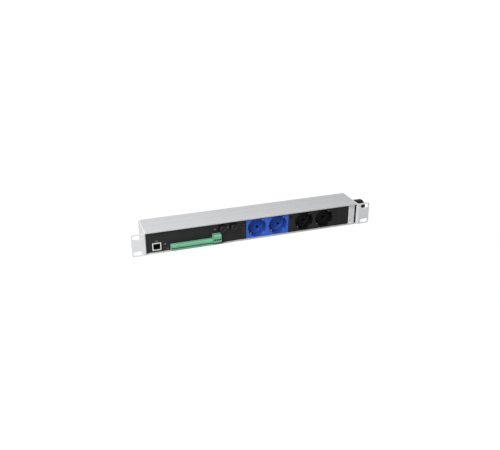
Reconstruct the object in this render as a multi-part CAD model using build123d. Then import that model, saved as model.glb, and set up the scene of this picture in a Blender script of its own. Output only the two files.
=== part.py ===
"""Rack power distribution unit, 19 inch wide and one unit high.

An extruded aluminium channel between two folded end plates with rack ears. Its open front
holds, from left to right: a control panel with a network port, four small and one large
pluggable terminal plugs and two fuse holders; a blue and a black twin earthed socket block,
each with an indicator beside it; blank covers; and, on the right end, a cable gland.

Frame: X across the rack, -Y towards the front, +Z up, millimetres. The origin is the centre
of the four rack slots, on the rear face of the ears, which seats on the rack rails.
"""

import os
from math import cos, radians, sin, sqrt

from build123d import *

# Channel profile
profile_height = 44.0
profile_depth = 65.0
profile_wall = 1.9
profile_back_radius = 1.4
profile_lip_radius = 0.35
profile_inner_radius = 0.8
snap_groove_depth = 0.8
snap_groove_width = 1.6
snap_groove_y = 7.4
line_groove_width = 1.3
line_groove_depth = 0.5
port_outer_radius = 3.0
port_bore_radius = 1.75
port_slot = 1.6
port_front_y = 31.0
port_rear_y = 51.0
port_inset = 4.2

# End plates with rack ears
ear_reach = 24.7
plate_thickness = 2.0
plate_outer_bend = 3.0
plate_corner_radius = 2.5
ear_corner_radius = 3.2
slot_length = 17.0
slot_width = 8.0
slot_pitch_z = 31.75
slot_edge = 1.9

# End plate screws, countersunk with a hexagon socket
screw_head_radius = 3.7
screw_head_height = 1.85
screw_length = 14.0
screw_socket_flats = 2.6
screw_socket_depth = 1.6
screw_clearance = 0.06

# Front modules, side by side from the left
face_recess = 2.7
face_thickness = 2.0
module_gap = 0.12
module_clearance = 0.15
indicator_width = 11.5
block_width = 87.2
spacer_width = 5.6
blank_width = 27.2
cover_width = 13.5
strip_width = 3.2
flange_depth = 9.0
flange_thickness = 1.5
snap_height = 0.7
snap_width = 1.2
snap_root = 0.2
edge_round = 0.3
cover_edge_round = 0.9

# Earthed sockets, turned by 45 degrees
socket_pitch = 43.0
socket_turn = 45.0
recess_radius = 18.8
recess_floor_radius = 18.35
recess_depth = 17.5
floor_thickness = 2.2
cup_wall = 1.1
pin_pitch = 19.0
pin_hole_radius = 2.8
pin_hole_lead = 0.5
guide_rib_width = 4.9
guide_rib_height = 2.2
guide_rib_drop = 1.6
block_skirt_depth = 23.8
block_wall = 1.6
block_top_wall = 1.0
cup_setback = 0.5
recess_lead = 0.4
clip_slot_width = 11.6
clip_slot_front = 6.4
clip_slot_inner_radius = 15.85
clip_slot_radius = 20.35

# Earth bar: one stamping a block, with two pairs of sprung arms for each socket
earth_thickness = 0.8
earth_strap_width = 8.0
earth_arm_width = 2.6
earth_arm_spread = 8.0
earth_arm_radius = 19.3
earth_nose_radius = 16.7
earth_nose_depth = 11.6
earth_tip_depth = 7.4
earth_link_width = 5.0
earth_foot_length = 3.0
earth_arm_shoulder = 5.0
earth_tip_lean = 0.2

# Contact bars with a sleeve for each pin, and the base that holds them
sleeve_outer_radius = 3.0
sleeve_bore_radius = 2.45
sleeve_length = 13.0
sleeve_slit = 0.8
contact_bar_width = 6.0
contact_bar_thickness = 1.2
contact_bar_overhang = 4.0
sleeve_root = 1.5
contact_tab_length = 6.0
contact_tab_width = 3.2
tab_thickness = 0.8
base_port_gap = 0.7
base_wall = 1.4
base_side_gap = 2.0
base_corner_radius = 1.0
base_clearance = 0.2
fit_gap = 0.2

# Network port
jack_inset = 19.6
jack_width = 16.4
jack_height = 14.8
jack_depth = 18.0
jack_proud = 0.6
jack_shell = 0.4
jack_bezel = 1.5
jack_corner_radius = 0.9
insert_gap = 0.08
insert_shortfall = 2.0
port_rise = 0.9
port_opening_width = 11.8
port_opening_height = 7.0
port_opening_depth = 12.5
latch_width = 6.2
latch_height = 2.4
latch_keeper_width = 3.4
latch_keeper_height = 1.4
contact_count = 8
contact_pitch = 1.02
contact_wire = 0.36
contact_thickness = 0.5
contact_tip_inset = 4.0
contact_root_inset = 0.6
contact_drop = 2.2
contact_rise = 0.3
comb_gap = 0.1
comb_clearance = 0.4
comb_lead = 1.0

# Boards
board_thickness = 1.6
board_standoff = 2.0
io_board_depth = 21.6
power_board_lift = 6.8
board_gap = 0.4
board_side_gap = 3.0
board_corner_radius = 1.2
board_hole_inset = 4.5
board_spacer_radius = 2.6
power_board_overhang = 1.5

# Small pluggable terminals
small_pitch = 3.81
small_pole_counts = (4, 5, 6, 6)
small_height = 11.1
small_reach = 9.0
small_header_height = 7.25
small_header_depth = 9.2
small_row_inset = 44.8
small_overhang = 1.5
small_hole_width = 2.6
small_hole_height = 3.0
small_hole_rise = 3.7
small_screw_radius = 1.15
small_nose_depth = 7.2
small_bevel = 1.0
small_front_bevel = 1.6
small_hole_depth = 6.75
small_well_inset = 4.7

# Large pluggable terminal for the supply of outside devices
large_pitch = 5.08
large_pole_count = 3
large_height = 15.0
large_reach = 12.0
large_header_height = 8.6
large_header_depth = 12.0
large_overhang = 1.5
large_hole_width = 3.4
large_hole_height = 3.9
large_hole_rise = 5.0
large_screw_radius = 1.9
large_nose_depth = 9.6
large_bevel = 1.35
large_front_bevel = 2.15
large_hole_depth = 9.0
large_well_inset = 6.25

plug_side_gap = 0.3
plug_row_gap = 0.5
plug_wall_gap = 0.35
plug_hole_round = 0.7
plug_seam_width = 0.3
plug_seam_depth = 0.3
header_side_gap = 0.05
header_setback = 0.4
header_wall = 0.8
header_back_wall = 1.6
header_key_depth = 1.8
header_pin = 0.9
header_pin_gap = 0.02
header_pin_inset = 2.0
header_pin_run = 1.6
pin_socket = 1.6
plug_screw_slot = 0.5
screw_slot_depth = 0.8
screw_well_gap = 0.2
screw_sink = 0.5
screw_foot_overlap = 0.2

# Fuse holders
fuse_from_plug = 4.95
fuse_pitch = 22.0
fuse_inset = 14.8
fuse_height = 9.2
fuse_flange_radius = 8.4
fuse_flange_thickness = 2.0
fuse_flange_round = 0.8
fuse_barrel_radius = 6.1
fuse_barrel_length = 26.0
fuse_bore_radius = 4.7
fuse_barrel_floor = 1.6
fuse_barrel_gap = 0.1
fuse_tab_pitch = 6.4
fuse_tab_length = 6.0
fuse_tab_width = 4.4
fuse_cap_radius = 6.7
fuse_cap_height = 4.4
fuse_cap_round = 1.0
fuse_cap_grip_count = 12
fuse_cap_grip_radius = 0.6
fuse_cap_grip_offset = 0.3
fuse_cap_rim = 0.8
fuse_cap_stem_radius = 4.4
fuse_cap_stem_length = 8.0
fuse_slot_width = 1.8
fuse_slot_depth = 2.2
fuse_slot_turns = (45.0, 75.0)
fuse_dimple_radius = 1.1
fuse_dimple_depth = 3.4
fuse_link_radius = 2.6
fuse_link_length = 20.0
fuse_link_seat = 5.95
fuse_link_gap = 0.1
fuse_nut_flats = 15.0
fuse_nut_thickness = 3.0
fuse_running_gap = 0.3
fuse_seat_gap = 0.05

# Indicators
indicator_rise = 11.0
lens_radius = 2.45
lens_flange_radius = 2.9
lens_length = 8.6
lens_sink = 0.1
lens_dome = 1.2
lens_flange_thickness = 1.0
lens_gap = 0.1
bezel_radius = 3.4
bezel_height = 0.6
bezel_round = 0.3

# End cover
cover_label_width = 11.0
cover_label_height = 35.0
cover_label_thickness = 0.25
cover_label_corner_radius = 1.0

# Cable gland on the right end plate
gland_y = 35.0
gland_flats = 30.0
gland_flange_length = 5.0
gland_corner_cut = 0.7
gland_thread_radius = 12.4
gland_inner_length = 9.0
gland_neck_radius = 12.2
gland_neck_length = 12.0
gland_bore_radius = 8.8
gland_seal_radius = 8.0
gland_seal_outer = 10.4
gland_seal_length = 12.0
gland_seal_depth = 7.2
gland_nut_radius = 14.8
gland_nut_length = 25.0
gland_nut_dome = 7.0
gland_dome_turn = 50.0
gland_nut_flat_depth = 0.6
gland_nut_end_gap = 0.15
gland_mouth_radius = 9.2
gland_locknut_radius = 14.6
gland_locknut_thickness = 4.5
gland_notch_width = 3.2
gland_notch_depth = 1.0
gland_gasket_thickness = 1.0
gland_gasket_radius = 14.6
gland_thread_gap = 0.05
gland_gap = 0.1

# Power supply, relays and the board's own terminal
supply_inset = 15.0
supply_left_inset = 4.0
supply_front_gap = 0.5
supply_back_gap = 5.5
supply_height = 19.0
supply_corner_radius = 1.0
relay_inset = 20.0
relay_gap = 2.0
relay_setback = 6.0
relay_corner_radius = 0.8
relay_width = 15.0
relay_depth = 18.0
relay_height = 11.4
board_terminal_width = 10.0
board_terminal_pitch = 6.0
board_terminal_back_gap = 5.0
board_terminal_height = 10.5
board_terminal_inset = 2.7
terminal_screw_inset = 6.5
terminal_screw_radius = 1.8
terminal_screw_depth = 2.5

# Mains terminal and wiring inside
mains_from_block = 10.9
mains_length = 22.0
mains_depth = 14.0
mains_height = 24.0
mains_seat = 0.2
mains_cable_way = 6.0
mains_cable_gap = 0.6
wire_radius = 1.6
wire_bend = 3.0
wire_back_gap = 6.1
wire_insert = 5.8
wire_drop = 7.0
wire_rise = 15.4
wire_tab_gap = 0.2
wire_way_gap = 0.1
seat_gap = 0.1

# The control panel is as wide as what it carries, and the modules beside it give the length
panel_width = (small_row_inset + sum(small_pole_counts) * small_pitch + plug_row_gap
               + large_pole_count * large_pitch + fuse_from_plug + fuse_pitch + fuse_inset)
module_widths = [indicator_width, block_width, indicator_width, block_width,
                 spacer_width, blank_width, cover_width, strip_width]
profile_length = panel_width + sum(module_widths)
rack_width = profile_length + 2 * (plate_thickness + ear_reach)

# Module edges along X, from the left end of the channel
left_end = -profile_length / 2
right_end = profile_length / 2
inner_half = profile_height / 2 - profile_wall
plate_height = profile_height
base_height = 2 * (profile_height / 2 - port_inset - port_outer_radius - base_port_gap)
face_y = face_recess
panel_right = left_end + panel_width
module_edges = [panel_right]
for width in module_widths:
    module_edges.append(module_edges[-1] + width)
wire_back_y = profile_depth - profile_wall - wire_back_gap
module_places = [(low + high) / 2 for low, high in zip(module_edges, module_edges[1:])]
indicator_1_x, blue_x, indicator_2_x, black_x, spacer_x, blank_x, cover_x, strip_x = module_places
mains_x = black_x + block_width / 2 + mains_from_block
floor_y = face_y + recess_depth
strap_y = floor_y + floor_thickness + fit_gap
base_y = strap_y + earth_thickness + fit_gap
sleeve_end_y = base_y + sleeve_length
tab_end_y = sleeve_end_y + contact_bar_thickness + contact_tab_length
pin_offset = pin_pitch / 2 * cos(radians(socket_turn))
io_board_top = -inner_half + board_standoff + board_thickness
power_board_top = -inner_half + power_board_lift + board_thickness
board_front_y = face_y + face_thickness + board_gap
board_wire_z = power_board_top + board_terminal_height / 2


def slab(x, y, z):
    """A box between three pairs of limits."""
    size = [high - low for low, high in (x, y, z)]
    centre = [(high + low) / 2 for low, high in (x, y, z)]
    return Pos(*centre) * Box(*size)


def rod_y(x, z, y_start, y_end, radius):
    """A cylinder along Y between two depths."""
    middle = (y_start + y_end) / 2
    return Pos(x, middle, z) * Rot(90, 0, 0) * Cylinder(radius, y_end - y_start)


def cone_y(x, z, y_start, y_end, radius_start, radius_end):
    """A tapered rod along Y, with its own radius at each end."""
    middle = (y_start + y_end) / 2
    return Pos(x, middle, z) * Rot(-90, 0, 0) * Cone(radius_start, radius_end, y_end - y_start)


def rod_x(y, z, x_start, x_end, radius):
    """A cylinder along X between two places."""
    middle = (x_start + x_end) / 2
    return Pos(middle, y, z) * Rot(0, 90, 0) * Cylinder(radius, abs(x_end - x_start))


def along_x(sketch, x_start, x_end):
    """A section drawn in the Y-Z plane, drawn out along X."""
    return Pos(x_start, 0, 0) * extrude(Plane.YZ * sketch, x_end - x_start)


def hexagon_x(y, z, x_start, x_end, flats):
    """A hexagonal prism along X, with two flats level."""
    corner_radius = flats / sqrt(3)
    return along_x(Pos(y, z) * RegularPolygon(corner_radius, 6), x_start, x_end)


def snap_ridges(x_centre, half, top):
    """The two ridges of a module that snap into the channel's grooves."""
    ridges = []
    for side in (1, -1):
        ridges.append(slab((x_centre - half, x_centre + half),
                           (snap_groove_y - snap_width / 2, snap_groove_y + snap_width / 2),
                           sorted((side * (top - snap_root), side * (top + snap_height)))))
    return ridges


def pan(width, x_centre, side_round=edge_round):
    """A front plate with a short return flange above and below, as a snap-in module has."""
    half = width / 2 - module_gap
    top = inner_half - module_clearance
    inner = top - flange_thickness
    body = slab((x_centre - half, x_centre + half), (face_y, face_y + flange_depth), (-top, top))
    front_edges = body.edges().group_by(Axis.Y)[0]
    body = fillet(front_edges.filter_by(Axis.Z), side_round)
    body -= slab((x_centre - half - 1, x_centre + half + 1),
                 (face_y + face_thickness, face_y + flange_depth + 1), (-inner, inner))
    return body + snap_ridges(x_centre, half, top)


def housing_profile():
    """The aluminium channel: screw ports, snap grooves and two fine lines on each broad face."""
    half = profile_height / 2
    section = Pos(profile_depth / 2, 0) * Rectangle(profile_depth, profile_height)
    section = fillet(section.vertices().group_by(Axis.X)[-1], profile_back_radius)
    section = fillet(section.vertices().group_by(Axis.X)[0], profile_lip_radius)
    hollow_depth = profile_depth - profile_wall
    hollow = Pos(hollow_depth / 2, 0) * Rectangle(hollow_depth, 2 * inner_half)
    section -= fillet(hollow.vertices().group_by(Axis.X)[-1], profile_inner_radius)
    section -= Pos(-0.5, 0) * Rectangle(2, 2 * inner_half)
    for side in (1, -1):
        section -= Pos(snap_groove_y, side * inner_half) * Rectangle(snap_groove_width,
                                                                      2 * snap_groove_depth)
        port_z = side * (half - port_inset)
        for port_y in (port_front_y, port_rear_y):
            section += Pos(port_y, port_z) * Circle(port_outer_radius)
            section -= Pos(port_y, port_z) * Circle(port_bore_radius)
            section -= Pos(port_y, port_z - side * port_outer_radius) * Rectangle(
                port_slot, 2 * port_outer_radius)
            notch = Polygon((-line_groove_width / 2, 0.01), (line_groove_width / 2, 0.01),
                            (0, -line_groove_depth), align=None)
            if side < 0:
                notch = mirror(notch, about=Plane.XZ)
            section -= Pos(port_y, side * half) * notch
    return along_x(section, left_end, right_end)


def end_plate(side):
    """A folded plate: the rack ear in front and the channel's end wall behind it."""
    inner = profile_length / 2
    outer = inner + plate_thickness
    ear = slab((inner, rack_width / 2), (-plate_thickness, 0), (-plate_height / 2, plate_height / 2))
    wall = slab((inner, outer), (-plate_thickness, profile_depth),
                (-plate_height / 2, plate_height / 2))
    plate = ear + wall
    bend_edges = plate.edges().filter_by(Axis.Z)
    front_bend = bend_edges.sort_by_distance((inner, -plate_thickness, 0))[0]
    plate = fillet(front_bend, plate_outer_bend)
    bend_edges = plate.edges().filter_by(Axis.Z)
    rear_bend = bend_edges.sort_by_distance((outer, 0, 0))[0]
    plate = fillet(rear_bend, plate_outer_bend - plate_thickness)
    ear_tips = plate.edges().filter_by(Axis.Y).group_by(Axis.X)[-1]
    plate = fillet(ear_tips, ear_corner_radius)
    rear_tips = plate.edges().filter_by(Axis.X).group_by(Axis.Y)[-1]
    plate = fillet(rear_tips, plate_corner_radius)
    slot_x = rack_width / 2 - slot_edge - slot_length / 2
    for slot_z in (slot_pitch_z / 2, -slot_pitch_z / 2):
        outline = Pos(slot_x, slot_z) * SlotOverall(slot_length, slot_width)
        plate -= Pos(0, 1, 0) * extrude(Plane.XZ * outline, plate_thickness + 2)
    for port_y in (port_front_y, port_rear_y):
        for port_z in (profile_height / 2 - port_inset, port_inset - profile_height / 2):
            shank = port_bore_radius + screw_clearance
            plate -= rod_x(port_y, port_z, inner - 1, outer + 1, shank)
            sink = Cone(shank, screw_head_radius + screw_clearance, screw_head_height)
            plate -= Pos(outer - screw_head_height / 2, port_y, port_z) * Rot(0, 90, 0) * sink
    if side > 0:
        plate -= rod_x(gland_y, 0, inner - 1, outer + 1, gland_thread_radius + gland_gap)
        return plate
    return mirror(plate, about=Plane.YZ)


def end_screws():
    """Countersunk socket screws that hold the end plates on the channel's screw ports."""
    outer = profile_length / 2 + plate_thickness
    head = Cone(port_bore_radius - screw_clearance, screw_head_radius, screw_head_height)
    screw = Pos(-screw_head_height / 2, 0, 0) * Rot(0, 90, 0) * head
    screw += rod_x(0, 0, -screw_length, -screw_head_height / 2, port_bore_radius - screw_clearance)
    screw -= hexagon_x(0, 0, -screw_socket_depth, 1, screw_socket_flats)
    screws = []
    for port_y in (port_front_y, port_rear_y):
        for port_z in (profile_height / 2 - port_inset, port_inset - profile_height / 2):
            right_screw = Pos(outer, port_y, port_z) * screw
            screws.append(right_screw)
            screws.append(mirror(right_screw, about=Plane.YZ))
    return Compound(children=screws)


def jack_place():
    """The centre of the network port in X, and the bottom of its shell in Z."""
    return left_end + jack_inset, io_board_top


def small_plug_places():
    """Each small plug: its left edge, and its number of poles."""
    x = left_end + small_row_inset
    places = []
    for poles in small_pole_counts:
        places.append((x, poles))
        x += poles * small_pitch
    return places


def large_plug_left():
    """The left edge of the large plug, beside the row of small ones."""
    last_x, last_poles = small_plug_places()[-1]
    return last_x + last_poles * small_pitch + plug_row_gap


def fuse_places():
    """The X of each fuse holder's axis."""
    return [panel_right - fuse_inset - fuse_pitch, panel_right - fuse_inset]


def control_panel():
    """The black panel in front of the control boards, with its openings."""
    width = panel_right - left_end
    panel = pan(width, (panel_right + left_end) / 2)
    cut = (face_y - 1, face_y + face_thickness + 0.01)
    jack_x, jack_bottom = jack_place()
    panel -= slab((jack_x - jack_width / 2 - fit_gap, jack_x + jack_width / 2 + fit_gap), cut,
                  (jack_bottom - fit_gap, jack_bottom + jack_height + fit_gap))
    first_x, _ = small_plug_places()[0]
    row_right = large_plug_left() - plug_row_gap
    panel -= slab((first_x - fit_gap, row_right), cut,
                  (io_board_top - fit_gap, io_board_top + small_header_height + fit_gap))
    large_left = large_plug_left()
    panel -= slab((large_left, large_left + large_pole_count * large_pitch + fit_gap), cut,
                  (power_board_top - fit_gap, power_board_top + large_header_height + fit_gap))
    for fuse_x in fuse_places():
        panel -= rod_y(fuse_x, fuse_height, *cut, fuse_barrel_radius + fuse_barrel_gap)
    return panel


def io_board():
    """The low board behind the panel that carries the network port and the small headers."""
    right = large_plug_left() - plug_row_gap
    top = io_board_top
    board = slab((left_end + board_side_gap, right),
                 (board_front_y, board_front_y + io_board_depth), (top - board_thickness, top))
    corners = board.edges().filter_by(Axis.Z)
    return fillet(corners, board_corner_radius)


def power_board():
    """The board that carries the large header, the relays and the power supply."""
    top = power_board_top
    right = panel_right + power_board_overhang
    back = profile_depth - profile_wall - board_side_gap
    board = slab((large_plug_left(), right), (board_front_y, back), (top - board_thickness, top))
    corners = board.edges().filter_by(Axis.Z)
    return fillet(corners, board_corner_radius)


def board_spacers():
    """Round spacers that hold the two boards off the channel's floor."""
    spacers = []
    left = left_end + board_side_gap + board_hole_inset
    right = large_plug_left() - plug_row_gap - board_hole_inset
    front_row = board_front_y + io_board_depth - board_hole_inset
    rear_row = (port_front_y + port_rear_y) / 2
    for x in (left, (left + right) / 2, right):
        spacer = Cylinder(board_spacer_radius, board_standoff)
        spacers.append(Pos(x, front_row, board_standoff / 2 - inner_half) * spacer)
    for x in (large_plug_left() + board_hole_inset, panel_right - board_hole_inset):
        for y in (front_row, rear_row):
            spacer = Cylinder(board_spacer_radius, power_board_lift)
            spacers.append(Pos(x, y, power_board_lift / 2 - inner_half) * spacer)
    return Compound(children=spacers)


def jack_shell_piece():
    """The plated steel shell of the network port, with its front frame."""
    x, bottom = jack_place()
    front = face_y - jack_proud
    shell = slab((x - jack_width / 2, x + jack_width / 2), (front, front + jack_depth),
                 (bottom, bottom + jack_height))
    shell = fillet(shell.edges().filter_by(Axis.Y), jack_corner_radius)
    wall = jack_shell
    shell -= slab((x - jack_width / 2 + wall, x + jack_width / 2 - wall),
                  (front + wall, front + jack_depth + 1), (bottom + wall, bottom + jack_height - wall))
    shell -= slab((x - jack_width / 2 + jack_bezel, x + jack_width / 2 - jack_bezel),
                  (front - 1, front + 1), (bottom + jack_bezel, bottom + jack_height - jack_bezel))
    return shell


def jack_opening(x, bottom, front):
    """The space of the port: the plug's body above and the stepped way for its latch below."""
    middle = bottom + jack_height / 2 + port_rise
    depth = (front - 1, front + port_opening_depth)
    low = middle - port_opening_height / 2
    opening = slab((x - port_opening_width / 2, x + port_opening_width / 2), depth,
                   (low, low + port_opening_height))
    opening += slab((x - latch_width / 2, x + latch_width / 2), depth, (low - latch_height, low))
    keeper_low = low - latch_height - latch_keeper_height
    opening += slab((x - latch_keeper_width / 2, x + latch_keeper_width / 2), depth,
                    (keeper_low, low))
    return opening


def insert_front():
    """The Y of the front of the network port's insert, just inside the shell's frame."""
    return face_y - jack_proud + jack_shell + insert_gap


def jack_wire_places():
    """The X of each contact wire of the network port, and the height of the port's roof."""
    x, bottom = jack_place()
    roof = bottom + jack_height / 2 + port_rise + port_opening_height / 2
    first = x - (contact_count - 1) / 2 * contact_pitch
    return [first + i * contact_pitch for i in range(contact_count)], roof


def jack_insert():
    """The black moulding inside the shell, open at the front for the plug."""
    x, bottom = jack_place()
    front = insert_front()
    gap = jack_shell + insert_gap
    block = slab((x - jack_width / 2 + gap, x + jack_width / 2 - gap),
                 (front, front + jack_depth - insert_shortfall),
                 (bottom + gap, bottom + jack_height - gap))
    block -= jack_opening(x, bottom, front)
    wire_places, roof = jack_wire_places()
    comb_half = contact_wire / 2 + comb_gap
    comb_top = roof + contact_rise + contact_thickness + comb_clearance
    for wire_x in wire_places:
        block -= slab((wire_x - comb_half, wire_x + comb_half),
                      (front + contact_tip_inset - comb_lead, front + port_opening_depth),
                      (roof - 0.01, comb_top))
    return block


def jack_contacts():
    """Eight sprung contact wires that slope down from the roof of the port."""
    wire_places, roof = jack_wire_places()
    tip_y = insert_front() + contact_tip_inset
    root_y = insert_front() + port_opening_depth - contact_root_inset
    tip_z = roof - contact_drop
    root_z = roof + contact_rise
    section = Polygon((tip_y, tip_z), (root_y, root_z), (root_y, root_z + contact_thickness),
                      (tip_y, tip_z + contact_thickness), align=None)
    return Compound(children=[along_x(section, wire_x - contact_wire / 2,
                                      wire_x + contact_wire / 2) for wire_x in wire_places])


def plug_places():
    """The four small plugs and the large one, each as a dictionary of its own sizes."""
    places = []
    for left, poles in small_plug_places():
        places.append({
            "left": left, "poles": poles, "pitch": small_pitch,
            "floor": io_board_top, "height": small_height, "reach": small_reach,
            "overhang": small_overhang, "header_height": small_header_height,
            "header_depth": small_header_depth, "hole_width": small_hole_width,
            "hole_height": small_hole_height, "hole_rise": small_hole_rise,
            "hole_depth": small_hole_depth, "well_inset": small_well_inset,
            "bevel": small_bevel, "front_bevel": small_front_bevel,
            "screw": small_screw_radius, "nose": small_nose_depth})
    places.append({
        "left": large_plug_left(), "poles": large_pole_count, "pitch": large_pitch,
        "floor": power_board_top, "height": large_height, "reach": large_reach,
        "overhang": large_overhang, "header_height": large_header_height,
        "header_depth": large_header_depth, "hole_width": large_hole_width,
        "hole_height": large_hole_height, "hole_rise": large_hole_rise,
        "hole_depth": large_hole_depth, "well_inset": large_well_inset,
        "bevel": large_bevel, "front_bevel": large_front_bevel,
        "screw": large_screw_radius, "nose": large_nose_depth})
    return places


def pole_centres(plug):
    """The X of each pole's centre in one plug."""
    return [plug["left"] + (i + 0.5) * plug["pitch"] for i in range(plug["poles"])]


def contact_z(plug):
    """The height of the contact pins in one header."""
    return plug["floor"] + plug["header_height"] / 2


def terminal_header(plug):
    """The green socket on the board: a box open towards the front."""
    low = plug["floor"]
    width = plug["poles"] * plug["pitch"]
    x = (plug["left"] + header_side_gap, plug["left"] + width - header_side_gap)
    y = (face_y + header_setback, face_y + header_setback + plug["header_depth"])
    roof = low + plug["header_height"]
    body = slab(x, y, (low, roof))
    body -= slab((x[0] + header_wall, x[1] - header_wall), (y[0] - 1, y[1] - header_back_wall),
                 (low + header_wall, roof - header_wall))
    key = plug["pitch"] / 4
    pin = header_pin / 2 + header_pin_gap
    z = contact_z(plug)
    for pole_x in pole_centres(plug):
        body -= slab((pole_x - key, pole_x + key), (y[0] - 1, y[0] + header_key_depth),
                     (roof - header_wall - 0.1, roof + 1))
        body -= slab((pole_x - pin, pole_x + pin), (y[1] - header_back_wall - 1, y[1] + 1),
                     (z - pin, z + pin))
    return body


def header_pins():
    """The bent contact pins of all five headers, down to their boards."""
    pins = []
    for plug in plug_places():
        tip = face_y + header_setback + header_pin_inset
        back = face_y + header_setback + plug["header_depth"] + header_pin_run
        half = header_pin / 2
        z = contact_z(plug)
        for pole_x in pole_centres(plug):
            level = slab((pole_x - half, pole_x + half), (tip, back), (z - half, z + half))
            drop = slab((pole_x - half, pole_x + half), (back - header_pin, back),
                        (plug["floor"] + header_pin_gap, z + half))
            pins.append(level + drop)
    return Compound(children=pins)


def terminal_plug(plug):
    """A green screw terminal plug: wire ways in front, screw wells on top, a nose behind."""
    left = plug["left"] + plug_side_gap / 2
    right = plug["left"] + plug["poles"] * plug["pitch"] - plug_side_gap / 2
    low = plug["floor"] - plug["overhang"]
    top = low + plug["height"]
    front = face_y - plug["reach"]
    back = face_y - plug_wall_gap
    bevel = plug["bevel"]
    front_bevel = plug["front_bevel"]
    section = Polygon((front, low), (back, low), (back, top - bevel), (back - bevel, top),
                      (front + front_bevel, top), (front, top - front_bevel), align=None)
    body = along_x(section, left, right)
    wall = header_side_gap + header_wall + plug_wall_gap
    nose_low = plug["floor"] + header_wall + plug_wall_gap
    nose_top = plug["floor"] + plug["header_height"] - header_wall - plug_wall_gap
    body += slab((plug["left"] + wall, right + plug_side_gap / 2 - wall),
                 (back - header_wall, face_y + plug["nose"]), (nose_low, nose_top))
    hole_z = low + plug["hole_rise"]
    well = Cylinder(plug["screw"] + screw_well_gap, top - hole_z + 1)
    half = pin_socket / 2
    z = contact_z(plug)
    for pole_x in pole_centres(plug):
        way = Pos(pole_x, hole_z) * RectangleRounded(plug["hole_width"], plug["hole_height"],
                                                     plug_hole_round)
        body -= Pos(0, front + plug["hole_depth"], 0) * extrude(Plane.XZ * way, plug["reach"])
        body -= Pos(pole_x, front + plug["well_inset"], (top + hole_z + 1) / 2) * well
        body -= slab((pole_x - half, pole_x + half),
                     (face_y + header_wall, face_y + plug["nose"] + 1), (z - half, z + half))
    seam = plug_seam_width / 2
    for i in range(1, plug["poles"]):
        seam_x = plug["left"] + i * plug["pitch"]
        body -= slab((seam_x - seam, seam_x + seam), (front - 1, front + plug_seam_depth),
                     (low - 1, hole_z + plug["hole_height"]))
    return body


def plug_screws(plug):
    """The clamp screws of one plug, each down in its well on the wire clamp."""
    low = plug["floor"] - plug["overhang"]
    top = low + plug["height"]
    hole_z = low + plug["hole_rise"]
    well_y = face_y - plug["reach"] + plug["well_inset"]
    head_top = top - screw_sink
    foot = hole_z + plug["hole_height"] / 2 - screw_foot_overlap
    screw = Pos(0, well_y, (head_top + foot) / 2) * Cylinder(plug["screw"], head_top - foot)
    screw -= slab((-plug["pitch"], plug["pitch"]),
                  (well_y - plug_screw_slot / 2, well_y + plug_screw_slot / 2),
                  (head_top - screw_slot_depth, head_top + 1))
    return Compound(children=[Pos(pole_x, 0, 0) * screw for pole_x in pole_centres(plug)])


def fuse_holder(x):
    """A panel fuse holder: a round flange in front and a barrel through the panel."""
    z = fuse_height
    flange_front = face_y - fuse_flange_thickness
    barrel_back = flange_front + fuse_barrel_length
    body = rod_y(x, z, flange_front, face_y - fuse_seat_gap, fuse_flange_radius)
    body = fillet(body.edges().group_by(Axis.Y)[0], fuse_flange_round)
    body += rod_y(x, z, face_y - 0.1, barrel_back, fuse_barrel_radius)
    body -= rod_y(x, z, flange_front - 1, barrel_back - fuse_barrel_floor, fuse_bore_radius)
    for tab_x in (x - fuse_tab_pitch / 2, x + fuse_tab_pitch / 2):
        body += slab((tab_x - tab_thickness / 2, tab_x + tab_thickness / 2),
                     (barrel_back - 0.1, barrel_back + fuse_tab_length),
                     (z - fuse_tab_width / 2, z + fuse_tab_width / 2))
    return body


def fuse_cap(x, slot_turn):
    """The slotted bayonet cap that carries the fuse: a gripped head on a hollow stem."""
    z = fuse_height
    seat = face_y - fuse_flange_thickness - fuse_running_gap
    head_front = seat - fuse_cap_height
    head = rod_y(x, z, head_front, seat, fuse_cap_radius)
    head = fillet(head.edges().group_by(Axis.Y)[0], fuse_cap_round)
    stem_end = seat + fuse_cap_stem_length
    cap = head + rod_y(x, z, seat - 0.1, stem_end, fuse_cap_stem_radius)
    cap -= rod_y(x, z, stem_end - fuse_link_seat - fuse_link_gap, stem_end + 1,
                 fuse_link_radius + fuse_link_gap)
    slot = slab((-fuse_cap_radius - 1, fuse_cap_radius + 1),
                (head_front - 1, head_front + fuse_slot_depth),
                (-fuse_slot_width / 2, fuse_slot_width / 2))
    cap -= Pos(x, 0, z) * Rot(0, -slot_turn, 0) * slot
    cap -= rod_y(x, z, head_front - 1, head_front + fuse_dimple_depth, fuse_dimple_radius)
    grip_circle = fuse_cap_radius + fuse_cap_grip_offset
    for i in range(fuse_cap_grip_count):
        angle = radians(360 * (i + 0.5) / fuse_cap_grip_count)
        cap -= rod_y(x + grip_circle * cos(angle), z + grip_circle * sin(angle),
                     head_front - 1, seat - fuse_cap_rim, fuse_cap_grip_radius)
    return cap


def fuse_link(x):
    """The glass fuse, held in the cap's stem."""
    seat = face_y - fuse_flange_thickness - fuse_running_gap
    start = seat + fuse_cap_stem_length - fuse_link_seat
    return rod_y(x, fuse_height, start, start + fuse_link_length, fuse_link_radius)


def fuse_nuts():
    """The two nuts that clamp the fuse holders behind the panel."""
    nuts = []
    back = face_y + face_thickness + fuse_seat_gap
    for x in fuse_places():
        nut = Pos(x, back + fuse_nut_thickness, fuse_height) * extrude(
            Plane.XZ * RegularPolygon(fuse_nut_flats / sqrt(3), 6), fuse_nut_thickness)
        nuts.append(nut - rod_y(x, fuse_height, back - 1, back + fuse_nut_thickness + 1,
                                fuse_barrel_radius + fuse_seat_gap))
    return Compound(children=nuts)


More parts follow.
